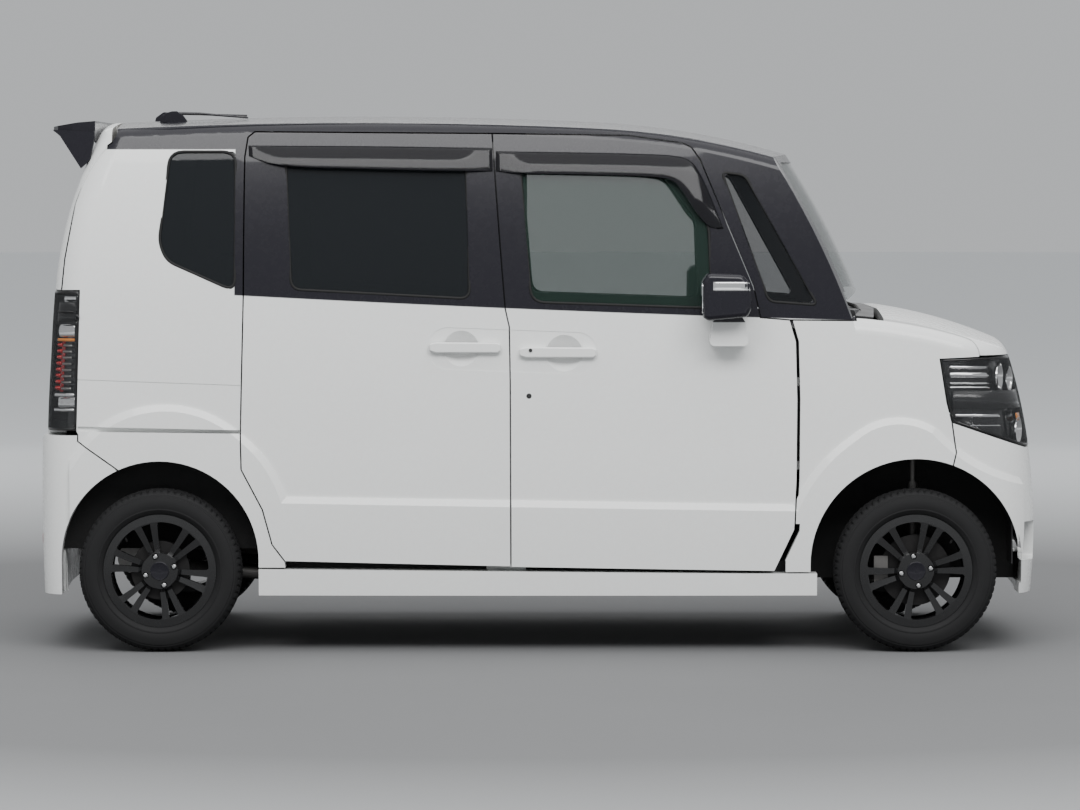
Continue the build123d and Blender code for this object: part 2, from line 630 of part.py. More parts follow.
gate_middle = [(-1760, 1900), (-1425, 1900), (-1425, 1700), (-1440, 1690), (-1470, 1212), (-1470, 728),
               (-1760, 728)]
gate_lower = grown_outline(gate_middle, 0, -GATE_HALF + GAP / 2, GATE_HALF - GAP / 2)
gate_lower_cut = grown_outline(gate_middle, GAP, -GATE_HALF - GAP / 2, GATE_HALF + GAP / 2)
gate_swing = rod_y(GATE_PIN_X, GATE_PIN_Z, -900, 900, 43.5)
gate_wall = wall & (zone(GATE_UPPER, "own", -900, 900) + gate_lower)
gate_hole = front_prism(GATE_OPENING, -1760, -1400, [50, 50, 60, 60])
tailgate = gate_wall - gate_hole
gate_cut = zone(GATE_UPPER, "cut", -900, 900) + gate_lower_cut + gate_swing
gate_arms = []
gate_arm_slots = []
for y in (-GATE_LUG_Y, GATE_LUG_Y):
    # room for the hinge arm, which stays with the roof while the gate turns about it
    fan = [(GATE_PIN_X + 90 * math.cos(math.radians(a)), GATE_PIN_Z + 90 * math.sin(math.radians(a)))
           for a in (-92, -45, 0, 41)]
    room = side_prism([(GATE_PIN_X - 3, GATE_PIN_Z)] + fan, y - 9, y + 9)
    room = room + rod_y(GATE_PIN_X, GATE_PIN_Z, y - 9, y + 9, 17)
    tailgate = tailgate - room - rod_y(GATE_PIN_X, GATE_PIN_Z, y - 22, y + 22, DOOR_PIN_R + FIT)
    arm_line = [(GATE_PIN_X, GATE_PIN_Z), (GATE_PIN_X + 22, GATE_PIN_Z - 48), (GATE_PIN_X + 62, GATE_PIN_Z + 4)]
    arm = strap(arm_line, 12, y - 6, y + 6)
    gate_arm_slots.append(strap(arm_line, 12 + 2 * SEAT_GAP, y - 6 - SEAT_GAP, y + 6 + SEAT_GAP))
    gate_arms.append(arm + rod_y(GATE_PIN_X, GATE_PIN_Z, y - 20, y + 20, DOOR_PIN_R))

roof_panel = wall & side_prism(ROOF, -ROOF_SEAM_Y + GAP / 2, ROOF_SEAM_Y - GAP / 2)
roof_panel = roof_panel - gate_cut - screen_hole
for arm in gate_arms:
    roof_panel = roof_panel + arm
aerial = side_prism([(-1334, 1755), (-1326, 1790), (-1299, 1809), (-1262, 1806), (-1236, 1788), (-1228, 1755)], -13, 13,
                    [0, 12, 14, 14, 12, 0])
roof_panel = roof_panel + aerial + bar((-1290, 0, 1804), (-1010, 0, 1797), 3.5)

skirt = (body & zone(SKIRT, "own", -900, -641)) - arch(WHEEL_X) - arch(-WHEEL_X)

cowl = body & (block(945, 1062, -598, 598, 1078, 1138) + block(1062, 1147, -637, 637, 1078, 1138))
cowl = cowl - rod_y(BONNET_PIN_X, BONNET_PIN_Z, -900, 900, BONNET_SWING_R + 6)

side = right & zone(BODY_SIDE, "own")
side = side - gate_swing - quarter_hole - pane_hole - rail
side = side - side_prism(ROOF, -ROOF_SEAM_Y - GAP / 2, 0) - screen_hole
side = side - gate_lower_cut - block(800, 1100, -630, 0, 900, 1141)
# the thin line above the rear wheel arch
side = side - (side_prism([(-1536, 906), (-985, 887), (-985, 891), (-1536, 910)], -900, -600) & outside_side(3))

# The body side carries the door pillars and catches behind the panels.
def layer(blocks, deep_from, deep_to):
    """What lies of some blocks between two depths under the side skin."""
    return (blocks & between_sides(deep_from)) - between_sides(deep_to)


b_pillar = layer(block(-172, -40, -900, -400, FLOOR_LOW, 1775), WALL + 6, WALL + 46)
hinge_pillar = block(882, 945, -692, -610, FLOOR_LOW, 1124) & skin(side=FENDER_WALL + 6, low=FLOOR_LOW, bonnet=20)
hinge_pillar = hinge_pillar - front_drum
catches = block(-172, -112, -900, -400, 640, 730) + block(-172, -112, -900, -400, 1000, 1090)
catches = catches + block(-1030, -950, -900, -400, 740, 790) + block(-1030, -950, -900, -400, 1100, 1150)
roots = block(-1030, -992, -900, -400, 740, 790) + block(-1030, -992, -900, -400, 1100, 1150)
pillars = b_pillar + [hinge_pillar, layer(catches, WALL + SEAT_GAP, WALL + 20), layer(roots, WALL - 6, WALL + 20)]
pillars = (pillars + hinge_arms) - [zone(SKIRT, "cut", -900, -641), side_prism(ROOF, -ROOF_SEAM_Y - GAP / 2, 0)]
side = (side + pillars) - gate_arm_slots

# Wheels, right side
# Half section of the tyre: radius, distance from the wheel's middle.
TYRE_SIDE = [(RIM_R + SEAT_GAP, 56.0 - SEAT_GAP), (RIM_FLANGE_R + 1, 56.0 - SEAT_GAP), (RIM_FLANGE_R + 2, 63.0), (228.0, TYRE_WIDTH / 2),
             (260.0, 68.0), (TYRE_R, 50.0)]
RIM_HALF = 57.0
FACE_Y = 45.0               # the mounting face stands this far out of the wheel's middle
HUB_BORE_R = 28.0
SPOKE_PAIRS = 6
# windows in the wheel face: distance from the axle, half width there
NARROW_WINDOW = [(64.0, 3.0), (120.0, 9.5), (159.0, 15.0)]
WIDE_WINDOW = [(59.0, 12.5), (110.0, 30.5), (152.0, 43.0), (163.0, 36.0)]
SPOKE_TURN = {"front": 10.0, "rear": 107.0}   # the nuts are in line with one pair of spokes


def wheel_axis(shape, x, y, out):
    """Stand a shape turned about local Z on the axle at x, y; local +Z points out of the car."""
    turn = Rot(90, 0, 0) if out < 0 else Rot(-90, 0, 0)
    return Pos(x, y, TYRE_R) * turn * shape


def turned_ring(points):
    """A ring about local Z from (radius, z) points."""
    face = Plane.XZ * flat(points)
    return revolve(face, Axis.Z, 360)


def tyre_shape():
    right_side = [(r, w) for r, w in TYRE_SIDE]
    left_side = [(r, -w) for r, w in reversed(TYRE_SIDE)]
    return turned_ring(right_side + left_side)


def window_prism(rows, angle):
    points = [(r, -w) for r, w in rows] + [(r, w) for r, w in reversed(rows)]
    return Rot(0, 0, angle) * plan_prism(points, FACE_Y - 30, FACE_Y + 40)


def rim_shape(turn):
    barrel = turned_ring([(162, -61), (188, -61), (188, -57), (RIM_R, -56), (RIM_R, 56), (188, 57),
                          (188, 61), (163, 61), (160, 40), (168, 20), (168, -50)])
    face = turned_ring([(HUB_BORE_R, FACE_Y), (62, FACE_Y), (75, 36), (165, 40), (165, 61), (150, 60),
                        (72, 54), (60, 66), (HUB_BORE_R, 66)])
    cuts = []
    for k in range(SPOKE_PAIRS):
        cuts.append(window_prism(NARROW_WINDOW, turn + 60 * k))
        cuts.append(window_prism(WIDE_WINDOW, turn + 60 * k + 30))
    for k in range(4):
        a = math.radians(turn + 90 * k)
        cuts.append(post(BOLT_PCD / 2 * math.cos(a), BOLT_PCD / 2 * math.sin(a), 0, 80, 7))
        cuts.append(post(BOLT_PCD / 2 * math.cos(a), BOLT_PCD / 2 * math.sin(a), 52, 80, 11))
    return barrel + (face - cuts)


def hub_shape(turn, front):
    """Front: stub, flange and brake disc. Rear: flange and brake drum. Both carry four studs."""
    hub = post(0, 0, 33, FACE_Y, 60) + post(0, 0, FACE_Y, FACE_Y + 14, HUB_BORE_R - 0.2)
    if front:
        hub = hub + post(0, 0, 12, 33, 58) + post(0, 0, 11, 21, 118)
        hub = hub + post(0, 0, -40, 12, 14)
    else:
        hub = hub + post(0, 0, -12, 33, 98) - post(0, 0, -20, 22, 88) + post(0, 0, -30, 25, 13)
    for k in range(4):
        a = math.radians(turn + 90 * k)
        hub = hub + post(BOLT_PCD / 2 * math.cos(a), BOLT_PCD / 2 * math.sin(a), 34, 64, 5.5)
    return hub


tyre = tyre_shape()
WHEELS = [("front_right", WHEEL_X, -1, "front"), ("front_left", WHEEL_X, 1, "front"),
          ("rear_right", -WHEEL_X, -1, "rear"), ("rear_left", -WHEEL_X, 1, "rear")]
rims = {"front": rim_shape(SPOKE_TURN["front"]), "rear": rim_shape(SPOKE_TURN["rear"])}
hubs = {"front": hub_shape(SPOKE_TURN["front"], True), "rear": hub_shape(SPOKE_TURN["rear"], False)}
for name, x, out, end in WHEELS:
    y = out * WHEEL_Y
    save("tyre_" + name, wheel_axis(tyre, x, y, out))
    save("rim_" + name, wheel_axis(rims[end], x, y, out))
    save("hub_" + name, wheel_axis(hubs[end], x, y, out))

# Running gear
PIVOT_Y = 545.0             # steering axis
HUB_Y = WHEEL_Y


def knuckle_right():
    up = post(WHEEL_X, -PIVOT_Y, 205, 560, 17)
    carrier = rod_y(WHEEL_X, TYRE_R, -HUB_Y + 36, -PIVOT_Y, 40)
    shape = up + carrier - rod_y(WHEEL_X, TYRE_R, -HUB_Y - 20, -HUB_Y + 42, 14 + FIT)
    shape = shape + post(WHEEL_X, -PIVOT_Y, 560, 672, 10)
    shape = shape + post(WHEEL_X, -PIVOT_Y, 176, 205, 9)
    shape = shape + block(WHEEL_X - 130, WHEEL_X - 12, -PIVOT_Y - 10, -PIVOT_Y + 10, 216, 240)
    # caliper behind the axle, round the rim of the disc
    arm = block(WHEEL_X - 122, WHEEL_X - 20, -HUB_Y + 2, -HUB_Y + 18, TYRE_R - 30, TYRE_R + 30)
    grip = block(WHEEL_X - 138, WHEEL_X - 92, -HUB_Y - 33, -HUB_Y + 6, TYRE_R - 48, TYRE_R + 48)
    slot = rod_y(WHEEL_X, TYRE_R, -HUB_Y - 25, -HUB_Y - 6, 124)
    link = block(WHEEL_X - 60, WHEEL_X - 20, -HUB_Y + 10, -PIVOT_Y - 5, TYRE_R - 16, TYRE_R + 16)
    return shape + link + arm + (grip - slot)


knuckle = knuckle_right() - rod_y(WHEEL_X, TYRE_R, -HUB_Y - 20, -HUB_Y + 42, 14 + FIT)
save("knuckle_right", knuckle)
save("knuckle_left", mirrored(knuckle))


def front_subframe():
    frame = block(WHEEL_X - 190, WHEEL_X - 120, -360, 360, 205, 250)
    frame = frame + block(WHEEL_X + 60, WHEEL_X + 120, -360, 360, 205, 250)
    frame = frame + block(WHEEL_X - 190, WHEEL_X + 120, -390, -330, 205, FLOOR_LOW)
    frame = frame + block(WHEEL_X - 190, WHEEL_X + 120, 330, 390, 205, FLOOR_LOW)
    for side in (-1, 1):
        arm = bar((WHEEL_X - 150, side * 350, 222), (WHEEL_X, side * PIVOT_Y, 190), 12)
        arm = arm + bar((WHEEL_X + 90, side * 350, 222), (WHEEL_X, side * PIVOT_Y, 190), 12)
        arm = arm + post(WHEEL_X, side * PIVOT_Y, 172, 203, 24)
        frame = frame + (arm - post(WHEEL_X, side * PIVOT_Y, 170, 210, 9 + FIT))
        frame = frame - post(WHEEL_X, side * PIVOT_Y, 203, 230, 24)
    return frame


def rear_axle():
    beam_x = -1120.0
    axle = rod_y(beam_x, TYRE_R - 10, -500, 500, 30)
    for side in (-1, 1):
        axle = axle + bar((beam_x, side * 490, TYRE_R - 10), (-WHEEL_X, side * 560, TYRE_R), 26)
        axle = axle + bar((beam_x, side * 490, TYRE_R - 10), (-905, side * 470, 240), 20)
        axle = axle + rod_y(-905, 240, side * 470 - 30, side * 470 + 30, 24)
        y0, y1 = sorted((side * 548, side * (HUB_Y - 20)))
        axle = axle + rod_y(-WHEEL_X, TYRE_R, y0, y1, 34)
        y0, y1 = sorted((side * (HUB_Y - 38), side * (HUB_Y + 40)))
        axle = axle - rod_y(-WHEEL_X, TYRE_R, y0, y1, 13 + FIT)
    return axle


save("front_subframe", front_subframe())
save("rear_axle", rear_axle())

# Floor and structure
RAIL_Y = 372.0


REAR_FLOOR_LOW = 345.0
REAR_FLOOR_TOP = 375.0
STEP_X = -862.0


def underbody():
    floor = block(STEP_X - 12, FIREWALL_X, -641, 641, FLOOR_LOW, FLOOR_TOP)
    floor = floor + block(STEP_X - 12, STEP_X + 18, -641, 641, FLOOR_LOW, REAR_FLOOR_TOP)
    back = block(-1560, STEP_X, -641, 641, REAR_FLOOR_LOW, REAR_FLOOR_TOP)
    back = back + block(-1560, -1545, -520, 520, 345, 700)
    floor = floor + (back & skin(tail=TAIL_WALL + 45, side=WALL + 6, low=0))
    rails = block(900, 1560, -RAIL_Y - 28, -RAIL_Y + 28, FLOOR_LOW, 330)
    rails = rails + mirrored(rails) + block(1530, 1572, -560, 560, FLOOR_LOW, 345)
    front_wall = block(945, FIREWALL_X, -598, 598, FLOOR_LOW, 1078)
    shape = floor + rails + front_wall
    side_rail = block(FIREWALL_X - 5, 1330, -668, -628, 930, 985) & skin(side=FENDER_WALL + 1, bonnet=60)
    tower = block(WHEEL_X - 55, WHEEL_X + 55, -PIVOT_Y - 50, -PIVOT_Y + 50, 600, 700)
    post_up = block(1270, 1330, -650, -630, 600, 940)
    lamp_post = block(SUPPORT_X - 34, SUPPORT_X, -545, -515, 530, 900)
    hinge = block(1165, 1195, -640, -BONNET_LUG_Y + 6, 955, 985)
    hinge = hinge + strap([(BONNET_PIN_X, 965), (BONNET_PIN_X, BONNET_PIN_Z)], 16, -BONNET_LUG_Y - 6, -BONNET_LUG_Y + 6)
    hinge = hinge + rod_y(BONNET_PIN_X, BONNET_PIN_Z, -BONNET_LUG_Y - 20, -BONNET_LUG_Y + 20, DOOR_PIN_R)
    shape = shape + block(SUPPORT_X - 34, SUPPORT_X, -545, 545, 872, 908)
    pieces = [front_house, rear_house, side_rail, tower - front_room, post_up - front_room,
              lamp_post - front_room, hinge]
    shape = shape + (pieces + [mirrored(piece) for piece in pieces])
    # the rear axle passes under the inner wall of each rear wheel house
    axle_gate = block(-1720, -880, -570, -540, 200, 335)
    cuts = [axle_gate, front_room, rear_room, zone(SKIRT, "cut", -900, -641)]
    shape = shape - (cuts + [mirrored(cut) for cut in cuts])
    for side_y in (-PIVOT_Y, PIVOT_Y):
        shape = shape - post(WHEEL_X, side_y, 600, 680, 10 + FIT)
    for side_y in (-470, 470):
        shape = shape + block(-930, -880, side_y - 45, side_y - 30, 215, REAR_FLOOR_LOW)
        shape = shape + block(-930, -880, side_y + 30, side_y + 45, 215, REAR_FLOOR_LOW)
    return shape - [pillars, mirrored(pillars)]


# Cabin
SEAT_Y = 320.0
CUSHION = [(-130, 395), (330, 425), (395, 480), (385, 545), (300, 575), (-60, 535), (-120, 560)]
CUSHION_R = [25, 25, 30, 30, 40, 40, 20]
BACK = [(-60, 540), (-135, 1090), (-175, 1130), (-255, 1120), (-285, 1075), (-190, 480), (-110, 470)]
BACK_R = [50, 30, 35, 35, 30, 30, 20]
HEAD = [(-175, 1165), (-170, 1290), (-205, 1335), (-255, 1325), (-272, 1180), (-235, 1150)]
HEAD_R = [20, 25, 25, 25, 20, 15]


def seat(shift, y, width, head_y):
    """One seat: cushion, back and headrest from outlines in (x, z)."""
    shape = side_prism([(x + shift, z) for x, z in CUSHION], y - width / 2, y + width / 2, CUSHION_R)
    shape = shape + side_prism([(x + shift, z) for x, z in BACK], y - width / 2, y + width / 2, BACK_R)
    for hy in head_y:
        shape = shape + side_prism([(x + shift, z) for x, z in HEAD], hy - 125, hy + 125, HEAD_R)
        for d in (-60, 60):
            shape = shape + bar((-205 + shift, hy + d, 1090), (-222 + shift, hy + d, 1200), 6)
    feet = block(10 + shift, 300 + shift, y - width / 2 + 60, y - width / 2 + 100, FLOOR_TOP, 425)
    feet = feet + block(10 + shift, 300 + shift, y + width / 2 - 100, y + width / 2 - 60, FLOOR_TOP, 425)
    return shape + feet


DASH = [(944.7, 620), (944.7, 1066), (860, 1078), (700, 1068), (640, 1030), (652, 900), (700, 760), (720, 620)]
DASH_R = [0, 0, 60, 60, 40, 60, 40, 20]
STEER_AT = (455.0, -330.0, 965.0)
STEER_TILT = 28.0           # of the rim from upright
STEER_R = 178.0


def steering_wheel():
    rim = Torus(STEER_R, 14)
    hub = Cylinder(62, 40)
    shape = rim + hub
    for angle in (0, 180, 250, 290):
        spoke = Pos(STEER_R / 2 + 20, 0, 0) * Box(STEER_R - 45, 26, 14)
        shape = shape + Rot(0, 0, angle) * spoke
    shape = Rot(0, -(90 - STEER_TILT), 0) * Rot(0, 0, 180) * shape
    shape = Pos(*STEER_AT) * shape
    tilt = math.radians(STEER_TILT)
    end = (STEER_AT[0] + 235 * math.cos(tilt), STEER_AT[1], STEER_AT[2] - 235 * math.sin(tilt))
    return shape + bar(STEER_AT, end, 26)


def dashboard():
    shape = side_prism(DASH, -585, 585, DASH_R)
    hood = side_prism([(560, 1040), (720, 1040), (720, 1108), (600, 1100)], -500, -170, [10, 0, 20, 25])
    shape = shape + hood
    tilt = math.radians(STEER_TILT)
    far = (STEER_AT[0] + 400 * math.cos(tilt), STEER_AT[1], STEER_AT[2] - 400 * math.sin(tilt))
    return shape - bar(STEER_AT, far, 26)


# Under and ahead of the floor
def engine():
    """Engine and gearbox as one block, with a foot on each front rail."""
    feet = block(1190, 1270, -RAIL_Y, RAIL_Y, 330 + SEAT_GAP, 390)
    return block(1050, 1400, -300, 320, 340, 850) + feet


def fuel_tank():
    return block(-420, 180, -340, 340, 190, FLOOR_LOW)


def exhaust():
    pipe = bar((1040, 395, 232), (-700, 395, 232), 20)
    pipe = pipe + bar((-700, 395, 232), (-1000, 250, 196), 20) + bar((-1000, 250, 196), (-1200, 250, 196), 20)
    pipe = pipe + bar((-1200, 250, 196), (-1380, 250, 262), 20)
    silencer = bar((-1400, -180, 270), (-1400, 270, 270), 50)
    # hangers up to the floor
    for y in (-120, 200):
        silencer = silencer + block(-1408, -1392, y - 10, y + 10, 300, REAR_FLOOR_LOW - SEAT_GAP)
    for x in (-300, 500):
        pipe = pipe + block(x - 8, x + 8, 385, 405, 240, FLOOR_LOW - SEAT_GAP)
    return pipe + silencer


# Fittings
MIRROR = [(545, 1120), (560, 1110), (690, 1122), (704, 1150), (700, 1235), (672, 1262), (560, 1266), (542, 1240)]
MIRROR_R = [8, 20, 20, 25, 30, 30, 20, 20]


def mirror_right():
    """Mirror housing on its arm, hung on the front door."""
    head = side_prism(MIRROR, -868, -742, MIRROR_R)
    nose_edges = [e for e in head.edges() if e.bounding_box().min.X > 640]
    head = head.fillet(18, [e for e in nose_edges if e.bounding_box().size.Y < 1])
    arm = side_prism([(566, 1024), (698, 1024), (686, 1104), (672, 1125), (592, 1125), (580, 1104)], -790, -690,
                     [16, 16, 12, 0, 0, 12])
    return (head + arm) - between_sides(0)


SPOILER_FIN = [(-1480, 1735), (-1625, 1741), (-1600, 1720), (-1531, 1612), (-1500, 1640)]


def spoiler():
    top = side_prism([(-1430, 1775), (-1540, 1766), (-1639, 1750), (-1634, 1737), (-1560, 1722),
                      (-1430, 1690)], -570, 570)
    lid = plan_prism([(-1432, -548), (-1560, -560), (-1610, -540), (-1628, -500), (-1639, 0),
                      (-1628, 500), (-1610, 540), (-1560, 560), (-1432, 548)], 1600, 1900)
    shape = top & lid
    fin = side_prism(SPOILER_FIN, -572, -548)
    shape = shape + fin + mirrored(fin)
    shape = shape - gate_hull - roof_panel
    # its front edge stays behind the line that would meet the roof when the gate is open
    return shape & block(-1700, GATE_PIN_X - 34, -700, 700, 1500, 1900)


# Write every part
gate_hull = wall & (zone(GATE_UPPER, "cut", -900, 900) + gate_lower_cut)


def pair(shape):
    return [shape, mirrored(shape)]


save("body_sides", side, mirrored(side))
save("roof_panel", roof_panel)
save("fenders", *pair(fender))
save("front_bumper", front_bumper)
save("grille", grille)
save("rear_bumper", rear_bumper)
save("side_skirts", *pair(skirt))
save("sliding_doors", *pair(sliding_door))
save("bonnet", bonnet)
save("cowl", cowl)
save("tailgate", tailgate)
save("front_door_right", front_door)
save("front_door_left", mirrored(front_door))
save("headlamps", *pair(headlamp))
save("tail_lamps", *pair(tail_lamp))

side_panes = [pane(SLIDE_WINDOW, SLIDE_WINDOW_R), pane(QUARTER_WINDOW, QUARTER_WINDOW_R),
              pane(FRONT_PANE, FRONT_PANE_R)]
save("fixed_side_glass", *side_panes, *[mirrored(p) for p in side_panes])
door_glass = pane(DOOR_WINDOW, DOOR_WINDOW_R)
save("door_glass_right", door_glass)
save("door_glass_left", mirrored(door_glass))
save("windscreen", glass_sheet & screen_hole & block(760, 1400, -700, 700, 1100, 1700))
save("tailgate_glass", glass_sheet & gate_hole & block(-1760, -1400, -700, 700, 1100, 1700))

floor = underbody()
save("underbody", floor)
cushioned = [seat(0, -SEAT_Y, 500, (-SEAT_Y,)), seat(0, SEAT_Y, 500, (SEAT_Y,)),
             seat(-850, 0, 1050, (-270, 270))]
save("seats", *cushioned)
save("dashboard", dashboard())
save("steering_wheel", steering_wheel())
save("engine", engine())
save("fuel_tank", fuel_tank())
save("exhaust", exhaust())
mirror = mirror_right()
save("mirror_right", mirror)
save("mirror_left", mirrored(mirror))
save("spoiler", spoiler())
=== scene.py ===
import json
import math

import bmesh
import bpy
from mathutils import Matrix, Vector
from mathutils.bvhtree import BVHTree

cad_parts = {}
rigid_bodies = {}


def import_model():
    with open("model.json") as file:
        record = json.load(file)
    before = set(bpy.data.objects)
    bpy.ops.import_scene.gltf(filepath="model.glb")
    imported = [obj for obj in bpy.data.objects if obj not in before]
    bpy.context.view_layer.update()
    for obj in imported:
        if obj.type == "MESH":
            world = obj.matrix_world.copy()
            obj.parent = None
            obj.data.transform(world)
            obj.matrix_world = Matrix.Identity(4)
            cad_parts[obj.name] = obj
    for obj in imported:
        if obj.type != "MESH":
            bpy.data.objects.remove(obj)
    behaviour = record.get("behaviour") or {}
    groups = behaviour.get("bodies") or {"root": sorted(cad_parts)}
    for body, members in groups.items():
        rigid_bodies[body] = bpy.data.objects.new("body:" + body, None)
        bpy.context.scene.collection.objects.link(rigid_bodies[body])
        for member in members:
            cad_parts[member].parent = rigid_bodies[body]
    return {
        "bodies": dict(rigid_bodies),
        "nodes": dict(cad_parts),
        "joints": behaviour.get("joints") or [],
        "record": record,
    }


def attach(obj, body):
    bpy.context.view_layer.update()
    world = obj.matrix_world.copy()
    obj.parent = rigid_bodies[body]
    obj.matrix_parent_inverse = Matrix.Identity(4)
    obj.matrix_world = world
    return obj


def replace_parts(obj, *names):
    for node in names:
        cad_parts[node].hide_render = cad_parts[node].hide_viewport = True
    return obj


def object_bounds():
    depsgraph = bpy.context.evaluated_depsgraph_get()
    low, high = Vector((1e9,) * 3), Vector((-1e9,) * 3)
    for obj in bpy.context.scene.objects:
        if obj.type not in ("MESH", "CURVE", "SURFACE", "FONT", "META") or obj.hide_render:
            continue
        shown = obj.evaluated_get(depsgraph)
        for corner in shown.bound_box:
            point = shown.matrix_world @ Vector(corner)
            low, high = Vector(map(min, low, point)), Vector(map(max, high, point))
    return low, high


# Kei wagon, metres. +X is forward, +Y is the car's left, +Z is up.
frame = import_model()
cad_low, cad_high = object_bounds()
nodes = frame["nodes"]
scene = bpy.context.scene
SIDES = ((-1, "right"), (1, "left"))  # which way out is in y, and the word in the names
WHEEL_X = 1.26  # from the middle of the car to the axles
WHEEL_Y = 0.6525  # from the middle of the car to the middle of a tyre
TYRE_R = 0.272
METRE = 0.001  # for outlines that are written in millimetres

# What the shader calls the inputs that this script sets
SOCKETS = {
    "base": "Base Color", "rough": "Roughness", "metal": "Metallic", "coat": "Coat Weight",
    "coat_rough": "Coat Roughness", "ior": "IOR", "normal": "Normal", "sheen": "Sheen Weight",
    "spec": "Specular IOR Level", "alpha": "Alpha",
}


# Node graphs
class Graph:
    """A material's node graph, with short names for the nodes used here."""

    def __init__(self, name):
        self.material = bpy.data.materials.new(name)
        self.material.use_nodes = True
        self.nodes = self.material.node_tree.nodes
        self.links = self.material.node_tree.links
        self.shader = self.nodes["Principled BSDF"]
        self.coords = self.nodes.new("ShaderNodeTexCoord")

    def put(self, target, value):
        if isinstance(value, bpy.types.NodeSocket):
            self.links.new(value, target)
        else:
            target.default_value = value

    def math(self, operation, a, b=0.0, clamp=False):
        node = self.nodes.new("ShaderNodeMath")
        node.operation = operation
        node.use_clamp = clamp
        self.put(node.inputs[0], a)
        self.put(node.inputs[1], b)
        return node.outputs[0]

    def times(self, a, b):
        return self.math("MULTIPLY", a, b)

    def plus(self, a, b, clamp=False):
        return self.math("ADD", a, b, clamp)

    def minus(self, a, b, clamp=False):
        return self.math("SUBTRACT", a, b, clamp)

    def split(self, vector):
        node = self.nodes.new("ShaderNodeSeparateXYZ")
        self.put(node.inputs[0], vector)
        return node.outputs

    def place(self):
        return self.split(self.coords.outputs["Object"])

    def facing(self):
        return self.split(self.coords.outputs["Normal"])

    def noise(self, scale, detail=4.0, roughness=0.6):
        node = self.nodes.new("ShaderNodeTexNoise")
        self.links.new(self.coords.outputs["Object"], node.inputs["Vector"])
        node.inputs["Scale"].default_value = scale
        node.inputs["Detail"].default_value = detail
        node.inputs["Roughness"].default_value = roughness
        return node.outputs[0]

    def cells(self, scale):
        node = self.nodes.new("ShaderNodeTexVoronoi")
        self.links.new(self.coords.outputs["Object"], node.inputs["Vector"])
        node.inputs["Scale"].default_value = scale
        return node.outputs["Distance"]

    def span(self, value, low, high, to_low=0.0, to_high=1.0):
        node = self.nodes.new("ShaderNodeMapRange")
        self.put(node.inputs[0], value)
        for index, number in enumerate((low, high, to_low, to_high), 1):
            node.inputs[index].default_value = number
        return node.outputs[0]

    def mix(self, factor, a, b):
        node = self.nodes.new("ShaderNodeMix")
        node.data_type = "RGBA"
        self.put(node.inputs[0], factor)
        self.put(node.inputs[6], a)
        self.put(node.inputs[7], b)
        return node.outputs[2]

    def shade(self, factor, colour, low, high):
        """The colour made darker and lighter by a factor that runs from 0 to 1."""
        dark = tuple(min(1.0, c * low) for c in colour[:3]) + (1.0,)
        light = tuple(min(1.0, c * high) for c in colour[:3]) + (1.0,)
        return self.mix(factor, dark, light)

    def bump(self, height, distance, strength):
        node = self.nodes.new("ShaderNodeBump")
        self.put(node.inputs["Height"], height)
        node.inputs["Distance"].default_value = distance
        node.inputs["Strength"].default_value = strength
        return node.outputs[0]

    def set(self, **values):
        for key, value in values.items():
            if isinstance(value, tuple) and len(value) == 3:
                value = value + (1.0,)
            self.put(self.shader.inputs[SOCKETS[key]], value)
        return self.material


WHITE = (0.80, 0.81, 0.80)
BLACK = (0.010, 0.0095, 0.014)
GREY_TRIM = (0.045, 0.045, 0.048)
LINING = (0.42, 0.41, 0.39)
PRINT_BLACK = (0.006, 0.006, 0.007, 1.0)
# The line between white and black paint: height = a + b x + c x x
BELT = (1.1426, -0.0404, 0.0063)
REAR_PILLAR_X = -1.010  # behind it the sides stay white up to the roof's edge
ROOF_EDGE_Z = 1.675
MIRROR_FOOT_Z = 1.103  # the mirrors are black above their white foot
LINING_Z = 1.62  # inside, pale lining above and dark trim below
INWARD = 0.35  # a face that leans in more than this is trimmed, not painted
COAT = 0.35
CLEAR_COVER = 0.30  # how much of the view clear glass hides


def above(graph, value, limit, soft=0.0015):
    return graph.span(value, limit - soft, limit + soft)


def above_belt(graph, x, z):
    curve = graph.plus(graph.times(graph.times(x, x), BELT[2]), graph.times(x, BELT[1]))
    return above(graph, graph.minus(z, curve), BELT[0])


def paint(name, two_tone=None, inner=None, colour=WHITE):
    """Car paint under a clear coat, with an optional part in flaked black and a trim colour inside."""
    g = Graph(name)
    base = g.shade(g.noise(3.0, 2.0), colour, 0.985, 1.015)
    x, y, z = g.place()
    rough = g.span(g.noise(40.0), 0.3, 0.7, 0.24, 0.30)
    if two_tone:
        black = above_belt(g, x, z)
        if two_tone == "sides":
            ahead = above(g, x, REAR_PILLAR_X)
            black = g.math("MAXIMUM", g.times(black, ahead), above(g, z, ROOF_EDGE_Z))
        elif two_tone == "mirror":
            black = above(g, z, MIRROR_FOOT_Z)
        base = g.mix(black, base, g.shade(g.cells(1400.0), BLACK, 0.9, 1.2))
    if inner:
        nx, ny, nz = g.facing()
        if inner == "side":
            inward = g.times(g.times(ny, g.math("SIGN", y)), -1.0)
        elif inner == "gate":
            inward = nx
        else:
            inward = g.times(nz, -1.0)
        hidden = above(g, inward, INWARD, 0.02)
        trim = g.shade(g.noise(600.0), GREY_TRIM, 0.8, 1.3)
        lining = g.shade(g.noise(900.0), LINING, 0.85, 1.1)
        base = g.mix(hidden, base, g.mix(above(g, z, LINING_Z), trim, lining))
        rough = g.plus(g.times(hidden, 0.45), rough, True)
        g.set(coat=g.minus(COAT, hidden, True))
    else:
        g.set(coat=COAT)
    g.set(base=base, rough=rough, coat_rough=0.03, spec=0.2)
    return g.set(normal=g.bump(g.noise(900.0, 2.0), 0.00002, 0.25))


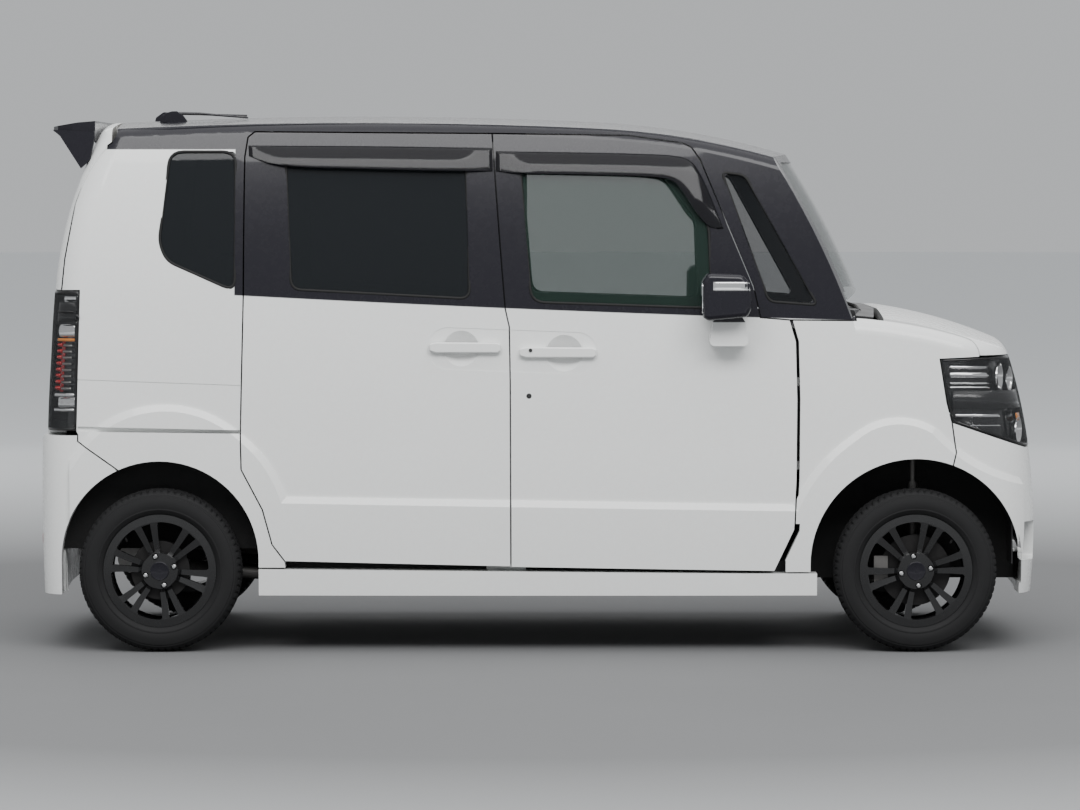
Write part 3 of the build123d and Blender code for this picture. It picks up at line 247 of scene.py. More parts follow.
def plastic(name, colour, rough=0.45, grain=700.0, depth=0.00008, coat=0.0, wear=0.12):
    g = Graph(name)
    tone = g.noise(14.0, 5.0)
    return g.set(base=g.shade(tone, colour, 1 - wear, 1 + wear),
                 rough=g.span(tone, 0.3, 0.7, rough - 0.05, rough + 0.05),
                 coat=coat, coat_rough=0.06, normal=g.bump(g.cells(grain), depth, 0.5))


def metal(name, colour, rough=0.3, wear=0.15):
    g = Graph(name)
    tone = g.noise(60.0, 6.0, 0.7)
    return g.set(base=g.shade(tone, colour, 1 - wear, 1 + wear), metal=1.0,
                 rough=g.span(tone, 0.25, 0.75, rough - 0.06, rough + 0.10),
                 normal=g.bump(tone, 0.00015, 0.2))


def glass(name, colour, alpha, rough=0.02, print_mask=None):
    """Glass as a thin tinted film; a print mask makes part of it black and opaque."""
    g = Graph(name)
    base, cover = g.shade(g.noise(4.0, 2.0), colour, 0.96, 1.0), alpha
    if print_mask:
        black, clear = print_mask(g)
        base = g.mix(black, base, PRINT_BLACK)
        tint = g.minus(alpha, g.times(clear, alpha - CLEAR_COVER))
        cover = g.math("MAXIMUM", black, tint)
    return g.set(base=base, rough=rough, ior=1.5, alpha=cover, spec=0.25)


def inside_polygon(g, x, z, points, soft=0.003):
    """1 inside a convex outline of (x, z) points given in turning order."""
    area = sum(points[i - 1][0] * p[1] - p[0] * points[i - 1][1] for i, p in enumerate(points))
    inside = 1.0
    for (x0, z0), (x1, z1) in zip(points, points[1:] + points[:1]):
        long = math.hypot(x1 - x0, z1 - z0) * (1 if area > 0 else -1)
        a, b = -(z1 - z0) / long, (x1 - x0) / long
        along_x = g.times(g.minus(x, x0), a)
        along_z = g.times(g.minus(z, z0), b)
        far = g.plus(along_x, along_z)
        inside = g.times(inside, g.span(far, -soft, soft))
    return inside


# The clear middle of the small pane ahead of the door, and an x between that pane and the others
FRONT_PANE_CLEAR = [(0.617, 1.584), (0.681, 1.594), (0.722, 1.543), (0.925, 1.187), (0.916, 1.148),
                    (0.849, 1.144), (0.772, 1.167)]
FRONT_PANE_X = 0.50


def side_print(g):
    """The small front pane has a wide black border; the other fixed panes are plain."""
    x, _, z = g.place()
    ahead = g.span(x, FRONT_PANE_X, FRONT_PANE_X + 0.001)
    inside = inside_polygon(g, x, z, FRONT_PANE_CLEAR)
    return g.times(ahead, g.minus(1.0, inside)), g.times(ahead, inside)


def lens(name, colour, alpha, rough=0.03):
    g = Graph(name)
    return g.set(base=g.shade(g.noise(30.0, 2.0), colour, 0.95, 1.05), rough=rough, ior=1.5, alpha=alpha,
                 coat=0.3, coat_rough=0.02)


def rubber(name, colour=(0.011, 0.011, 0.0115), rough=0.72):
    g = Graph(name)
    dust = g.noise(22.0, 6.0, 0.65)
    return g.set(base=g.shade(dust, colour, 0.7, 1.5), spec=0.25,
                 rough=g.span(dust, 0.3, 0.7, rough - 0.06, rough + 0.08),
                 normal=g.bump(g.noise(1800.0, 3.0), 0.00012, 0.35))


def cloth(name, colour):
    g = Graph(name)
    weave = g.nodes.new("ShaderNodeTexWave")
    weave.inputs["Scale"].default_value = 380.0
    g.links.new(g.coords.outputs["Object"], weave.inputs["Vector"])
    thread = g.times(weave.outputs[1], g.noise(1400.0, 2.0))
    tone = g.plus(g.times(g.noise(8.0, 4.0), 0.5), g.times(thread, 0.6))
    return g.set(base=g.shade(tone, colour, 0.7, 1.35),
                 rough=0.92, sheen=0.25, normal=g.bump(thread, 0.0006, 0.7))


finish = {
    "white": paint("paint_white", inner="side"),
    "sides": paint("paint_sides", two_tone="sides", inner="side"),
    "doors": paint("paint_doors", two_tone="doors", inner="side"),
    "gate": paint("paint_gate", inner="gate"),
    "plain_white": paint("paint_plain"),
    "mirror": paint("paint_mirror", two_tone="mirror"),
    "roof": paint("paint_roof", colour=BLACK, inner="roof"),
    "gloss_black": paint("paint_black", colour=BLACK),
    "black_trim": plastic("black_trim", (0.016, 0.016, 0.017), 0.42),
    "soft_black": plastic("soft_black", (0.008, 0.008, 0.008), 0.65),
    "underbody": plastic("underbody_coat", (0.012, 0.012, 0.012), 0.8, 260.0, 0.0006, wear=0.3),
    "chrome": metal("bright_chrome", (0.82, 0.82, 0.82), 0.06, wear=0.03),
    "steel": metal("bare_steel", (0.42, 0.41, 0.40), 0.34),
    "cast": metal("cast_metal", (0.16, 0.155, 0.15), 0.55, wear=0.3),
    "clear_glass": glass("clear_glass", (0.030, 0.055, 0.045), 0.30),
    "side_glass": glass("side_glass", (0.012, 0.014, 0.016), 0.84, print_mask=side_print),
    "dark_glass": glass("dark_glass", (0.012, 0.014, 0.016), 0.84),
    "visor": glass("visor_smoke", (0.010, 0.010, 0.012), 0.86, 0.08),
    "lens": lens("lamp_lens", (0.10, 0.105, 0.11), 0.10),
    "red_lens": lens("red_lens", (0.42, 0.012, 0.012), 0.94, 0.08),
    "amber_lens": lens("amber_lens", (0.62, 0.20, 0.02), 0.92, 0.08),
    "lamp_black": plastic("lamp_black", (0.004, 0.004, 0.0045), 0.22, 900.0, 0.000004, coat=0.15),
    "mirror_glass": metal("mirror_glass", (0.86, 0.87, 0.88), 0.02, wear=0.02),
    "rim": plastic("rim_black", (0.004, 0.004, 0.0045), 0.25, 900.0, 0.00002, coat=0.4),
    "brake": metal("brake_iron", (0.035, 0.034, 0.034), 0.5, wear=0.3),
    "rubber": rubber("tyre_rubber"),
    "seal": rubber("rubber_seal", (0.010, 0.010, 0.010), 0.6),
    "seat": cloth("seat_cloth", (0.085, 0.082, 0.080)),
}


def all_smooth(mesh):
    """Shade every face smooth, and leave the sharp edges as they are."""
    for face in mesh.polygons:
        face.use_smooth = True


# What the nodes wear. A name that ends in _ stands for all the nodes that start with it.
WEAR = {
    "sides": ("body_sides",), "roof": ("roof_panel",), "white": ("fenders",), "gate": ("tailgate",),
    "plain_white": ("front_bumper", "rear_bumper", "side_skirts", "bonnet"),
    "doors": ("front_door_", "sliding_doors"), "mirror": ("mirror_",), "gloss_black": ("spoiler",),
    "black_trim": ("grille", "cowl", "dashboard"), "soft_black": ("steering_wheel",),
    "clear_glass": ("windscreen", "door_glass_"), "side_glass": ("fixed_side_glass",),
    "dark_glass": ("tailgate_glass",), "lens": ("headlamps", "tail_lamps"), "seat": ("seats",),
    "underbody": ("underbody", "fuel_tank"), "steel": ("exhaust",),
    "cast": ("engine", "front_subframe", "rear_axle", "knuckle_"),
    "rubber": ("tyre_",), "rim": ("rim_",), "brake": ("hub_",),
}


def finish_of(name):
    for kind, worn in WEAR.items():
        if any(name == start or (start.endswith("_") and name.startswith(start)) for start in worn):
            return finish[kind]


for name, node in nodes.items():
    node.data.materials.clear()
    node.data.materials.append(finish_of(name))
    all_smooth(node.data)


# Places on the side of the body
def circle_through(a, b, c):
    """The centre and radius of the circle through three points."""
    ax, ay = a
    bx, by = b
    cx, cy = c
    d = 2 * (ax * (by - cy) + bx * (cy - ay) + cx * (ay - by))
    aa, bb, cc = ax * ax + ay * ay, bx * bx + by * by, cx * cx + cy * cy
    ux = (aa * (by - cy) + bb * (cy - ay) + cc * (ay - by)) / d
    uy = (aa * (cx - bx) + bb * (ax - cx) + cc * (bx - ax)) / d
    return ux, uy, math.hypot(ax - ux, ay - uy)


# The side's section: two arcs through (out, height) points that meet at the waist
WAIST_Z = 1.17
LOWER_SIDE = circle_through((0.700, 0.100), (0.7245, 0.660), (0.709, WAIST_Z))
UPPER_SIDE = circle_through((0.709, WAIST_Z), (0.681, 1.430), (0.603, 1.780))
SIDE_BOW = 90.0  # the side draws in by x x / SIDE_BOW towards the car's ends


def side_out(x, z):
    """How far the side skin stands from the middle of the car."""
    cx, cz, r = LOWER_SIDE if z < WAIST_Z else UPPER_SIDE
    return cx + math.sqrt(max(r * r - (z - cz) ** 2, 0.0)) - x * x / SIDE_BOW


class Piece:
    """One named piece, built up as a mesh from simple parts."""

    def __init__(self, name, material, body="body"):
        self.name, self.material, self.body = name, material, body
        self.mesh = bmesh.new()

    def grid(self, rows, loop_u=False, loop_v=False):
        points = [[self.mesh.verts.new(p) for p in row] for row in rows]
        count_u, count_v = len(rows), len(rows[0])
        for i in range(count_u if loop_u else count_u - 1):
            a, b = points[i], points[(i + 1) % count_u]
            for j in range(count_v if loop_v else count_v - 1):
                k = (j + 1) % count_v
                self.mesh.faces.new((a[j], a[k], b[k], b[j]))
        return points

    def close_ends(self, rings):
        self.mesh.faces.new(rings[0][::-1])
        self.mesh.faces.new(rings[-1])

    def lathe(self, centre, axis, profile, steps=32):
        """Turn (distance along the axis, radius) points about an axis through the centre."""
        axis = Vector(axis).normalized()
        first = axis.orthogonal().normalized()
        if abs(axis.y) > 0.9:
            first = Vector((1, 0, 0))
        second = axis.cross(first)
        rows = []
        for k in range(steps):
            angle = math.radians(360.0 * k / steps)
            out = first * math.cos(angle) + second * math.sin(angle)
            rows.append([Vector(centre) + axis * a + out * max(r, 1e-5) for a, r in profile])
        self.grid(rows, loop_u=True)

    def tube(self, points, radius, sides=12):
        """A round bar through points, with one radius or one for each point."""
        points = [Vector(p) for p in points]
        rings = []
        for i, point in enumerate(points):
            ahead = points[min(i + 1, len(points) - 1)] - points[max(i - 1, 0)]
            ahead.normalize()
            first = ahead.cross(Vector((0, 0, 1)) if abs(ahead.z) < 0.9 else Vector((1, 0, 0))).normalized()
            second = ahead.cross(first)
            r = radius[i] if isinstance(radius, (list, tuple)) else radius
            turns = [2 * math.pi * k / sides for k in range(sides)]
            rings.append([point + (first * math.cos(a) + second * math.sin(a)) * r for a in turns])
        self.close_ends(self.grid(rings, loop_v=True))

    def prism(self, outline, low, high, plane="xz"):
        """An outline in two axes pushed from low to high along the third."""
        order = {"xz": lambda a, b, t: (a, t, b), "yz": lambda a, b, t: (t, a, b)}[plane]
        self.close_ends(self.grid([[order(a, b, t) for a, b in outline] for t in (low, high)], loop_v=True))

    def done(self, bevel=0.0, thick=0.0, sharp=35.0, turn=True):
        """Close the mesh, give it its finish and modifiers, and hang it on its body."""
        bmesh.ops.remove_doubles(self.mesh, verts=self.mesh.verts[:], dist=1e-6)
        if turn:
            bmesh.ops.recalc_face_normals(self.mesh, faces=self.mesh.faces[:])
        data = bpy.data.meshes.new(self.name)
        self.mesh.to_mesh(data)
        self.mesh.free()
        piece = bpy.data.objects.new(self.name, data)
        scene.collection.objects.link(piece)
        data.materials.append(finish[self.material])
        all_smooth(data)
        data.set_sharp_from_angle(angle=math.radians(sharp))
        if thick:
            shell = piece.modifiers.new("thickness", "SOLIDIFY")
            shell.thickness = thick
            shell.offset = -1.0
        if bevel:
            soft = piece.modifiers.new("soft_edges", "BEVEL")
            soft.width = bevel
            soft.segments = 2
            soft.limit_method = "ANGLE"
            soft.angle_limit = math.radians(sharp)
            soft.harden_normals = True
        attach(piece, self.body)
        return piece


def spaced(points, count):
    """Points at equal steps along a line of 3-D points."""
    lengths = [0.0]
    for a, b in zip(points, points[1:]):
        lengths.append(lengths[-1] + (b - a).length)
    made = []
    for k in range(count):
        want = lengths[-1] * k / (count - 1)
        i = max(j for j in range(len(lengths) - 1) if lengths[j] <= want + 1e-9)
        part = (want - lengths[i]) / (lengths[i + 1] - lengths[i])
        made.append(points[i].lerp(points[i + 1], part))
    return made


def resample(points, count):
    """The same for a line of (x, z) points."""
    return [(p.x, p.z) for p in spaced([Vector((x, 0, z)) for x, z in points], count)]


def smoothed(points, rounds=2):
    """Cut the corners of an open row of points a few times."""
    for _ in range(rounds):
        made = [points[0]]
        for a, b in zip(points, points[1:]):
            made.append((a[0] * 0.75 + b[0] * 0.25, a[1] * 0.75 + b[1] * 0.25))
            made.append((a[0] * 0.25 + b[0] * 0.75, a[1] * 0.25 + b[1] * 0.75))
        made.append(points[-1])
        points = made
    return points


# Rain visors over the side windows: upper and lower edge as (x, z), from the rear end forward
VISORS = {
    "front_visor": ([(-0.141, 1.669), (0.075, 1.666), (0.30, 1.662), (0.46, 1.656), (0.512, 1.640),
                     (0.545, 1.590), (0.583, 1.500), (0.618, 1.412)],
                    [(-0.139, 1.603), (-0.06, 1.595), (0.20, 1.591), (0.397, 1.585), (0.455, 1.572),
                     (0.487, 1.528), (0.555, 1.424), (0.600, 1.411)]),
    "rear_visor": ([(-0.966, 1.688), (-0.76, 1.687), (-0.558, 1.686), (-0.35, 1.683), (-0.153, 1.680)],
                   [(-0.964, 1.654), (-0.865, 1.618), (-0.558, 1.610), (-0.35, 1.605), (-0.151, 1.603)]),
}
VISOR_STEPS = (56, 8)  # along the window and down the visor
VISOR_OFF = 0.0015  # how far its upper edge stands off the side
VISOR_BULGE = 0.017


def visor(name, side, tag, body):
    count, down = VISOR_STEPS
    top, low = [resample(smoothed(edge), count) for edge in VISORS[name]]
    rows = []
    for i in range(count):
        ends = min(1.0, 6 * min(i, count - 1 - i) / (count - 1) + 0.12)
        row = []
        for j in range(down + 1):
            t = j / down
            x = top[i][0] * (1 - t) + low[i][0] * t
            z = top[i][1] * (1 - t) + low[i][1] * t
            out = side_out(x, z) + VISOR_OFF + VISOR_BULGE * ends * math.sin(t * math.pi * 0.55)
            row.append((x, side * out, z))
        # the lower edge turns in
        x, y, z = row[-1]
        row.append((x, y - side * 0.004, z - 0.002))
        rows.append(row)
    piece = Piece(name + "_" + tag, "visor", body)
    piece.grid(rows)
    piece.done(thick=0.0025, sharp=50)


for side, tag in SIDES:
    visor("front_visor", side, tag, "front_door_" + tag)
    visor("rear_visor", side, tag, "body")


# Wheels: tread and side walls in place of the plain tyre, with nuts, cap and valve on the rim
TREAD_STEPS = 288
RIB, MIDDLE, SHOULDER = 1, 2, 3
# Half a tyre's section: distance out from its middle, drop below the crown, and the blocks cut there
TYRE_HALF = [
    (0.0, 0.0, RIB), (0.005, 0.0, RIB), (0.0055, 0.007, 0), (0.0105, 0.007, 0), (0.011, 0.0, MIDDLE),
    (0.027, 0.0006, MIDDLE), (0.0275, 0.0076, 0), (0.0335, 0.0076, 0), (0.034, 0.0012, SHOULDER),
    (0.046, 0.0024, SHOULDER), (0.054, 0.005, SHOULDER), (0.060, 0.0095, SHOULDER), (0.0655, 0.0150, 0),
    (0.0668, 0.0175, 0), (0.0700, 0.0185, 0), (0.0712, 0.0240, 0), (0.0740, 0.0255, 0), (0.0764, 0.036, 0),
    (0.0775, 0.047, 0), (0.0768, 0.057, 0), (0.0752, 0.0640, 0), (0.0762, 0.0650, 0), (0.0760, 0.0685, 0),
    (0.0742, 0.0695, 0), (0.0705, 0.0760, 0), (0.0650, 0.0815, 0), (0.0600, 0.0830, 0), (0.0565, 0.0850, 0),
]
# Distance along the axis and radius of the trim on a rim
NUT = [(0, 0.0), (0, 0.0095), (0.011, 0.0095), (0.0125, 0.0088), (0.0185, 0.0080), (0.0215, 0.0052),
       (0.0225, 0.0)]
CAP = [(0.058, 0.0), (0.058, 0.027), (0.066, 0.0315), (0.0685, 0.0315), (0.0705, 0.029), (0.0695, 0.026),
       (0.0705, 0.0)]
NUTS, NUT_CIRCLE, NUT_OUT = 4, 0.05, 0.052
VALVE_CIRCLE, VALVE_OUT = 0.160, 0.040
# Name, x, and how far the first nut is turned round, in degrees
AXLES = (("front", WHEEL_X, 10.0), ("rear", -WHEEL_X, 107.0))


def groove(k, a, block):
    """How deep the tread is cut at step k round the tyre, at distance a from its middle."""
    if block == RIB and k % 8 == 0:
        return 0.002
    if block == MIDDLE and (k + (2 if a > 0 else 0)) % 4 == 0:
        return 0.005
    if block == SHOULDER and (k + 1) % 4 == 0:
        return 0.0055 if abs(a) < 0.055 else 0.003
    return 0.0


def tyre(name, x, side):
    half = [(a, TYRE_R - drop, block) for a, drop, block in TYRE_HALF]
    profile = [(-a, r, block) for a, r, block in reversed(half[1:])] + half
    rows = []
    for k in range(TREAD_STEPS):
        angle = 2 * math.pi * k / TREAD_STEPS
        row = []
        for a, r, block in profile:
            r -= groove(k, a, block)
            row.append((x + r * math.cos(angle), side * (WHEEL_Y + a), TYRE_R + r * math.sin(angle)))
        rows.append(row)
    piece = Piece("tread_tyre_" + name, "rubber", "wheel_" + name)
    piece.grid(rows, loop_u=True, loop_v=True)
    made = piece.done(sharp=28)
    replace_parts(made, "tyre_" + name)


def wheel_trim(name, x, side, turn):
    outward = (0, side, 0)

    def on_rim(radius, degrees, out):
        angle = math.radians(degrees)
        round_axle = Vector((math.cos(angle), 0, math.sin(angle)))
        return Vector((x, side * (WHEEL_Y + out), TYRE_R)) + round_axle * radius, round_axle

    nuts = Piece("nuts_" + name, "chrome", "wheel_" + name)
    for k in range(NUTS):
        at, _ = on_rim(NUT_CIRCLE, turn + 360 / NUTS * k, NUT_OUT)
        nuts.lathe(at, outward, NUT, 18)
    nuts.done(sharp=30)
    cap = Piece("cap_" + name, "gloss_black", "wheel_" + name)
    cap.lathe((x, side * WHEEL_Y, TYRE_R), outward, CAP, 48)
    cap.done(sharp=30)
    valve = Piece("valve_" + name, "seal", "wheel_" + name)
    root, away = on_rim(VALVE_CIRCLE, turn + 30, VALVE_OUT)
    neck = root + Vector((0, side * 0.012, 0)) - away * 0.004
    tip = root + Vector((0, side * 0.030, 0)) - away * 0.012
    valve.tube([root, neck, tip], [0.005, 0.004, 0.0035])
    valve.done()


for side, tag in SIDES:
    for end, x, turn in AXLES:
        tyre(end + "_" + tag, x, side)
        wheel_trim(end + "_" + tag, x, side, turn)


# The CAD's own skin, for laying trim on it or under it
def surface(name, wanted=lambda point: True):
    """The faces of a node whose first corner is wanted, as a tree to cast rays at."""
    node = nodes[name]
    points = [node.matrix_world @ v.co for v in node.data.vertices]
    faces = [list(f.vertices) for f in node.data.polygons if wanted(points[f.vertices[0]])]
    return BVHTree.FromPolygons(points, faces)


class Round:
    """The outer skin of a lamp or mirror, seen from an upright axis inside it."""

    REACH = 1.2  # rays start this far out

    def __init__(self, name, centre, side):
        self.centre, self.side = Vector((centre[0], side * centre[1], 0)), side
        self.tree = surface(name, lambda point: point.y * side > 0)

    def at(self, degrees, z, inset=0.0):
        """0 degrees points out of the car's side, 90 to the end of the car."""
        angle = math.radians(degrees)
        end = 1 if self.centre.x > 0 else -1
        out = Vector((end * math.sin(angle), self.side * math.cos(angle), 0))
        start = Vector((self.centre.x, self.centre.y, z)) + out * self.REACH
        hit, normal, _, _ = self.tree.ray_cast(start, -out, 2 * self.REACH)
        return None if hit is None else hit - normal * inset


class Skin:
    """The outer skin of some CAD nodes."""

    def __init__(self, *names):
        self.trees = [surface(name) for name in names]

    def meet(self, start, way):
        """Where a ray first meets the skin, or None."""
        found = [tree.ray_cast(Vector(start), Vector(way).normalized(), 6.0) for tree in self.trees]
        found = [(far, hit) for hit, _, _, far in found if hit is not None]
        return min(found, key=lambda row: row[0])[1] if found else None


LAMP_WALL = 0.0025


def band(name, material, skin, degrees, heights, inset, thick=LAMP_WALL, steps=10, rows=2, bulge=0.0):
    """A strip that follows a lamp's skin at some depth under it, where the lamp has skin."""
    (first, last), (low, high) = degrees, heights
    grid = []
    for i in range(steps + 1):
        row = []
        for j in range(rows + 1):
            angle, height = first + (last - first) * i / steps, low + (high - low) * j / rows
            row.append(skin.at(angle, height, inset - bulge * math.sin(math.pi * j / rows)))
        if all(row):
            grid.append(row)
    piece = Piece(name, material)
    piece.grid(grid)
    piece.done(thick=thick)


# Lamps: a clear cover cut from the lamp's own skin, with what shows behind it
FRAME_WIDE = 0.0045
FRAME_STEP = 0.012  # between the frame's points
FRAME_BACK = 0.0008  # how far the frame lies under the skin
SHORT_EDGE = 0.3  # open edges shorter than this have no frame


def edge_loops(mesh):
    """The open edges of a mesh, as closed chains of points."""
    loops, left = [], [e for e in mesh.edges if e.is_boundary]
    while left:
        edge = left.pop(0)
        chain = [edge.verts[0], edge.verts[1]]
        while True:
            onward = [e for e in chain[-1].link_edges if e in left]
            if not onward:
                break
            left.remove(onward[0])
            chain.append(onward[0].other_vert(chain[-1]))
        loops.append([v.co.copy() for v in chain])
    return loops


def frame_cover(name, mesh, look_end):
    """A black line printed round the edge of a lamp's cover."""
    frame = Piece(name + "_frame", "lamp_black")
    for points in edge_loops(mesh):
        length = sum((b - a).length for a, b in zip(points, points[1:]))
        if length < SHORT_EDGE:
            continue
        middle = sum(points, Vector()) / len(points)
        points = spaced(points, max(int(length / FRAME_STEP), 8))
        inner = [p + (middle - p).normalized() * FRAME_WIDE for p in points]
        back = -math.copysign(FRAME_BACK, look_end)
        inner = [p + Vector((back, -math.copysign(FRAME_BACK, p.y), 0)) for p in inner]
        frame.tube(inner, FRAME_WIDE * 0.9, 8)
    frame.done(sharp=60)


def lamp_part(name, part, material, wanted, look_end):
    """The faces of the CAD lamp that are wanted, as a thin shell."""
    piece = Piece(name + "_" + part, material)
    mesh = piece.mesh
    mesh.from_mesh(nodes[name].data)
    mesh.transform(nodes[name].matrix_world)
    bmesh.ops.delete(mesh, geom=[face for face in mesh.faces if not wanted(face)], context="FACES")
    bmesh.ops.remove_doubles(mesh, verts=mesh.verts[:], dist=1e-6)
    if part == "cover":
        frame_cover(name, mesh, look_end)
    return piece.done(thick=LAMP_WALL, sharp=30, turn=False)


def lamp_shell(name, towards):
    """Split the CAD lamp into its cover (the faces that look outward) and the housing behind it."""
    def outward(face):
        out = 1 if face.calc_center_median().y > 0 else -1
        look = Vector((towards[0], towards[1] * out, 0)).normalized()
        return face.normal.dot(look) > 0.35 and abs(face.normal.z) < 0.75

    cover = lamp_part(name, "cover", "lens", outward, towards[0])
    housing = lamp_part(name, "housing", "lamp_black", lambda face: not outward(face), towards[0])
    for piece in (cover, housing):
        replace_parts(piece, name)


# Insides of the lamps: angles are in degrees round the lamp, from the car's side to its end
HEAD_CENTRE, TAIL_CENTRE = (1.36, 0.445), (-1.542, 0.640)
HEAD_RIBS = ((0.943, 0.960), (0.914, 0.937), (0.893, 0.902), (0.877, 0.889))  # low and high edge
HEAD_BOWLS = ((45, 0.924, 0.042), (68, 0.916, 0.038), (62, 0.742, 0.040))  # angle, height, radius
BOWL_DEPTH = 0.040
BALL_ANGLES = (0.0, 0.5, 1.0, 1.5, 1.94)
HEAD_LINES = ((0.812, 0.820), (0.782, 0.796), (0.752, 0.760))  # low and high edge
RED_FROM, TAIL_END = 66, 86
# From the top: name, material, first and last angle, low and high edge, depth, steps, rows, bulge
TAIL_BANDS = (
    ("top", "chrome", (3, TAIL_END), (1.168, 1.196), 0.018, 20, 2, 0.0),
    ("black", "lamp_black", (1, TAIL_END), (1.102, 1.166), 0.002, 22, 4, 0.0),
    ("mirror", "chrome", (3, TAIL_END), (1.048, 1.096), 0.014, 20, 4, 0.005),
    ("amber", "amber_lens", (3, TAIL_END), (1.036, 1.046), 0.008, 20, 2, 0.0),
    ("dark", "lamp_black", (3, RED_FROM), (0.868, 1.036), 0.030, 10, 6, 0.0),
    ("red_back", "red_lens", (RED_FROM, TAIL_END), (0.868, 1.036), 0.026, 10, 6, 0.0),
    ("line", "chrome", (3, TAIL_END), (0.852, 0.862), 0.010, 20, 2, 0.0),
    ("clear", "chrome", (3, TAIL_END), (0.815, 0.850), 0.022, 20, 3, 0.0),
    ("line_low", "chrome", (3, TAIL_END), (0.803, 0.811), 0.010, 20, 2, 0.0),
)
RUNGS, RUNG_LOW, RUNG_STEP = 8, 0.874, 0.0205
TAIL_FIN = ((4, 0.001), (20, 0.003), (40, 0.0045), (60, 0.0035), (80, 0.001))  # angle, how far proud
TAIL_FIN_Z = 1.134


def head_bowl(tag, k, centre, look, size):
    """A bright bowl with a lens ball in it."""
    bowl = Piece("head_bowl_%s_%d" % (tag, k), "chrome")
    bowl.lathe(centre, look, [(0.000, 0.010), (0.004, size * 0.55), (0.012, size * 0.85), (0.024, size),
                              (0.026, size + 0.003), (0.022, size + 0.003)], 40)
    bowl.done(sharp=30)
    ball = Piece("head_ball_%s_%d" % (tag, k), "mirror_glass")
    profile = [(0.012 - 0.012 * math.cos(a), max(size * 0.45 * math.sin(a + 1.2), 0.0)) for a in BALL_ANGLES]
    ball.lathe(centre + look * 0.003, look, profile, 28)
    ball.done(sharp=60)


def headlamp(side, tag):
    """Level ribs on the side, bowls ahead, bright lines and dark linings."""
    skin = Round("headlamps", HEAD_CENTRE, side)
    band("head_band_" + tag, "lamp_black", skin, (2, 84), (0.812, 0.872), 0.006, steps=36)
    band("head_side_" + tag, "lamp_black", skin, (0, 38), (0.874, 0.976), 0.026, steps=14, rows=4)
    for k, heights in enumerate(HEAD_RIBS):
        band("head_rib_%s_%d" % (tag, k), "chrome", skin, (2, 34), heights, 0.018, 0.003, 12, 6, 0.007)
    look = Vector((1, side * 0.35, 0)).normalized()
    for k, (degrees, z, size) in enumerate(HEAD_BOWLS):
        head_bowl(tag, k, skin.at(degrees, z, BOWL_DEPTH), look, size)
    for k, heights in enumerate(HEAD_LINES):
        band("head_line_%s_%d" % (tag, k), "chrome", skin, (6, 40), heights, 0.014, 0.003, 16, 3, 0.003)
    band("head_low_" + tag, "lamp_black", skin, (6, 82), (0.695, 0.808), 0.034, steps=30, rows=3)
    band("head_amber_" + tag, "amber_lens", skin, (60, 82), (0.770, 0.795), 0.012, steps=10)


def tail_lamp(side, tag):
    """Bands one above the other, with rungs before the dark one and red steps before the red one."""
    skin = Round("tail_lamps", TAIL_CENTRE, side)
    for part, material, degrees, heights, inset, steps, rows, bulge in TAIL_BANDS:
        name = "tail_%s_%s" % (part, tag)
        band(name, material, skin, degrees, heights, inset, LAMP_WALL, steps, rows, bulge)
    red = (RED_FROM, TAIL_END)
    for k in range(RUNGS):
        z = RUNG_LOW + RUNG_STEP * k
        band("tail_rung_%s_%d" % (tag, k), "steel", skin, (18, 56), (z, z + 0.010), 0.012, 0.006, 8, 2, 0.004)
        band("tail_step_%s_%d" % (tag, k), "red_lens", skin, red, (z, z + 0.013), 0.012, 0.006, 10, 2, 0.004)
    fin = Piece("tail_fin_" + tag, "lamp_black")
    line = [skin.at(degrees, TAIL_FIN_Z, -proud) for degrees, proud in TAIL_FIN]
    fin.tube([point for point in line if point is not None], 0.004)
    fin.done()


lamp_shell("headlamps", (0.55, 0.83))
lamp_shell("tail_lamps", (-0.55, 0.83))
for side, tag in SIDES:
    headlamp(side, tag)
    tail_lamp(side, tag)


# Side windows: rubber seals round the glass, as (x, z) outlines in millimetres
WINDOWS = {
    "door_seal": ([(-62, 1650), (330, 1645), (440, 1600), (568, 1440), (579, 1148), (-22, 1168)], 0.045),
    "slide_seal": ([(-842, 1655), (-240, 1650), (-226, 1179), (-821, 1210)], 0.035),
    "quarter_seal": ([(-1228, 1668), (-1262, 1367), (-1236, 1304), (-1008, 1203), (-1008, 1668)], 0.045),
    "pane_seal": ([(612, 1600), (690, 1590), (930, 1158), (768, 1170)], 0.022),
}
SEAL_WIDE = 0.009
SEAL_PROUD = 0.001
SEAL_LEAN = 0.18  # how far the bead tips up, for the side's lean


def rounded(points, radius, steps=5):
    """Round the corners of a closed outline."""
    made = []
    count = len(points)
    for i in range(count):
        a, b, c = Vector(points[i - 1]), Vector(points[i]), Vector(points[(i + 1) % count])
        back, ahead = (a - b), (c - b)
        r = min(radius, back.length * 0.45, ahead.length * 0.45)
        start, end = b + back.normalized() * r, b + ahead.normalized() * r
        for k in range(steps + 1):
            t = k / steps
            made.append(tuple(start * (1 - t) ** 2 + b * 2 * t * (1 - t) + end * t * t))
    return made


def rectangle(low_a, high_a, low_b, high_b):
    return [(low_a, low_b), (high_a, low_b), (high_a, high_b), (low_a, high_b)]


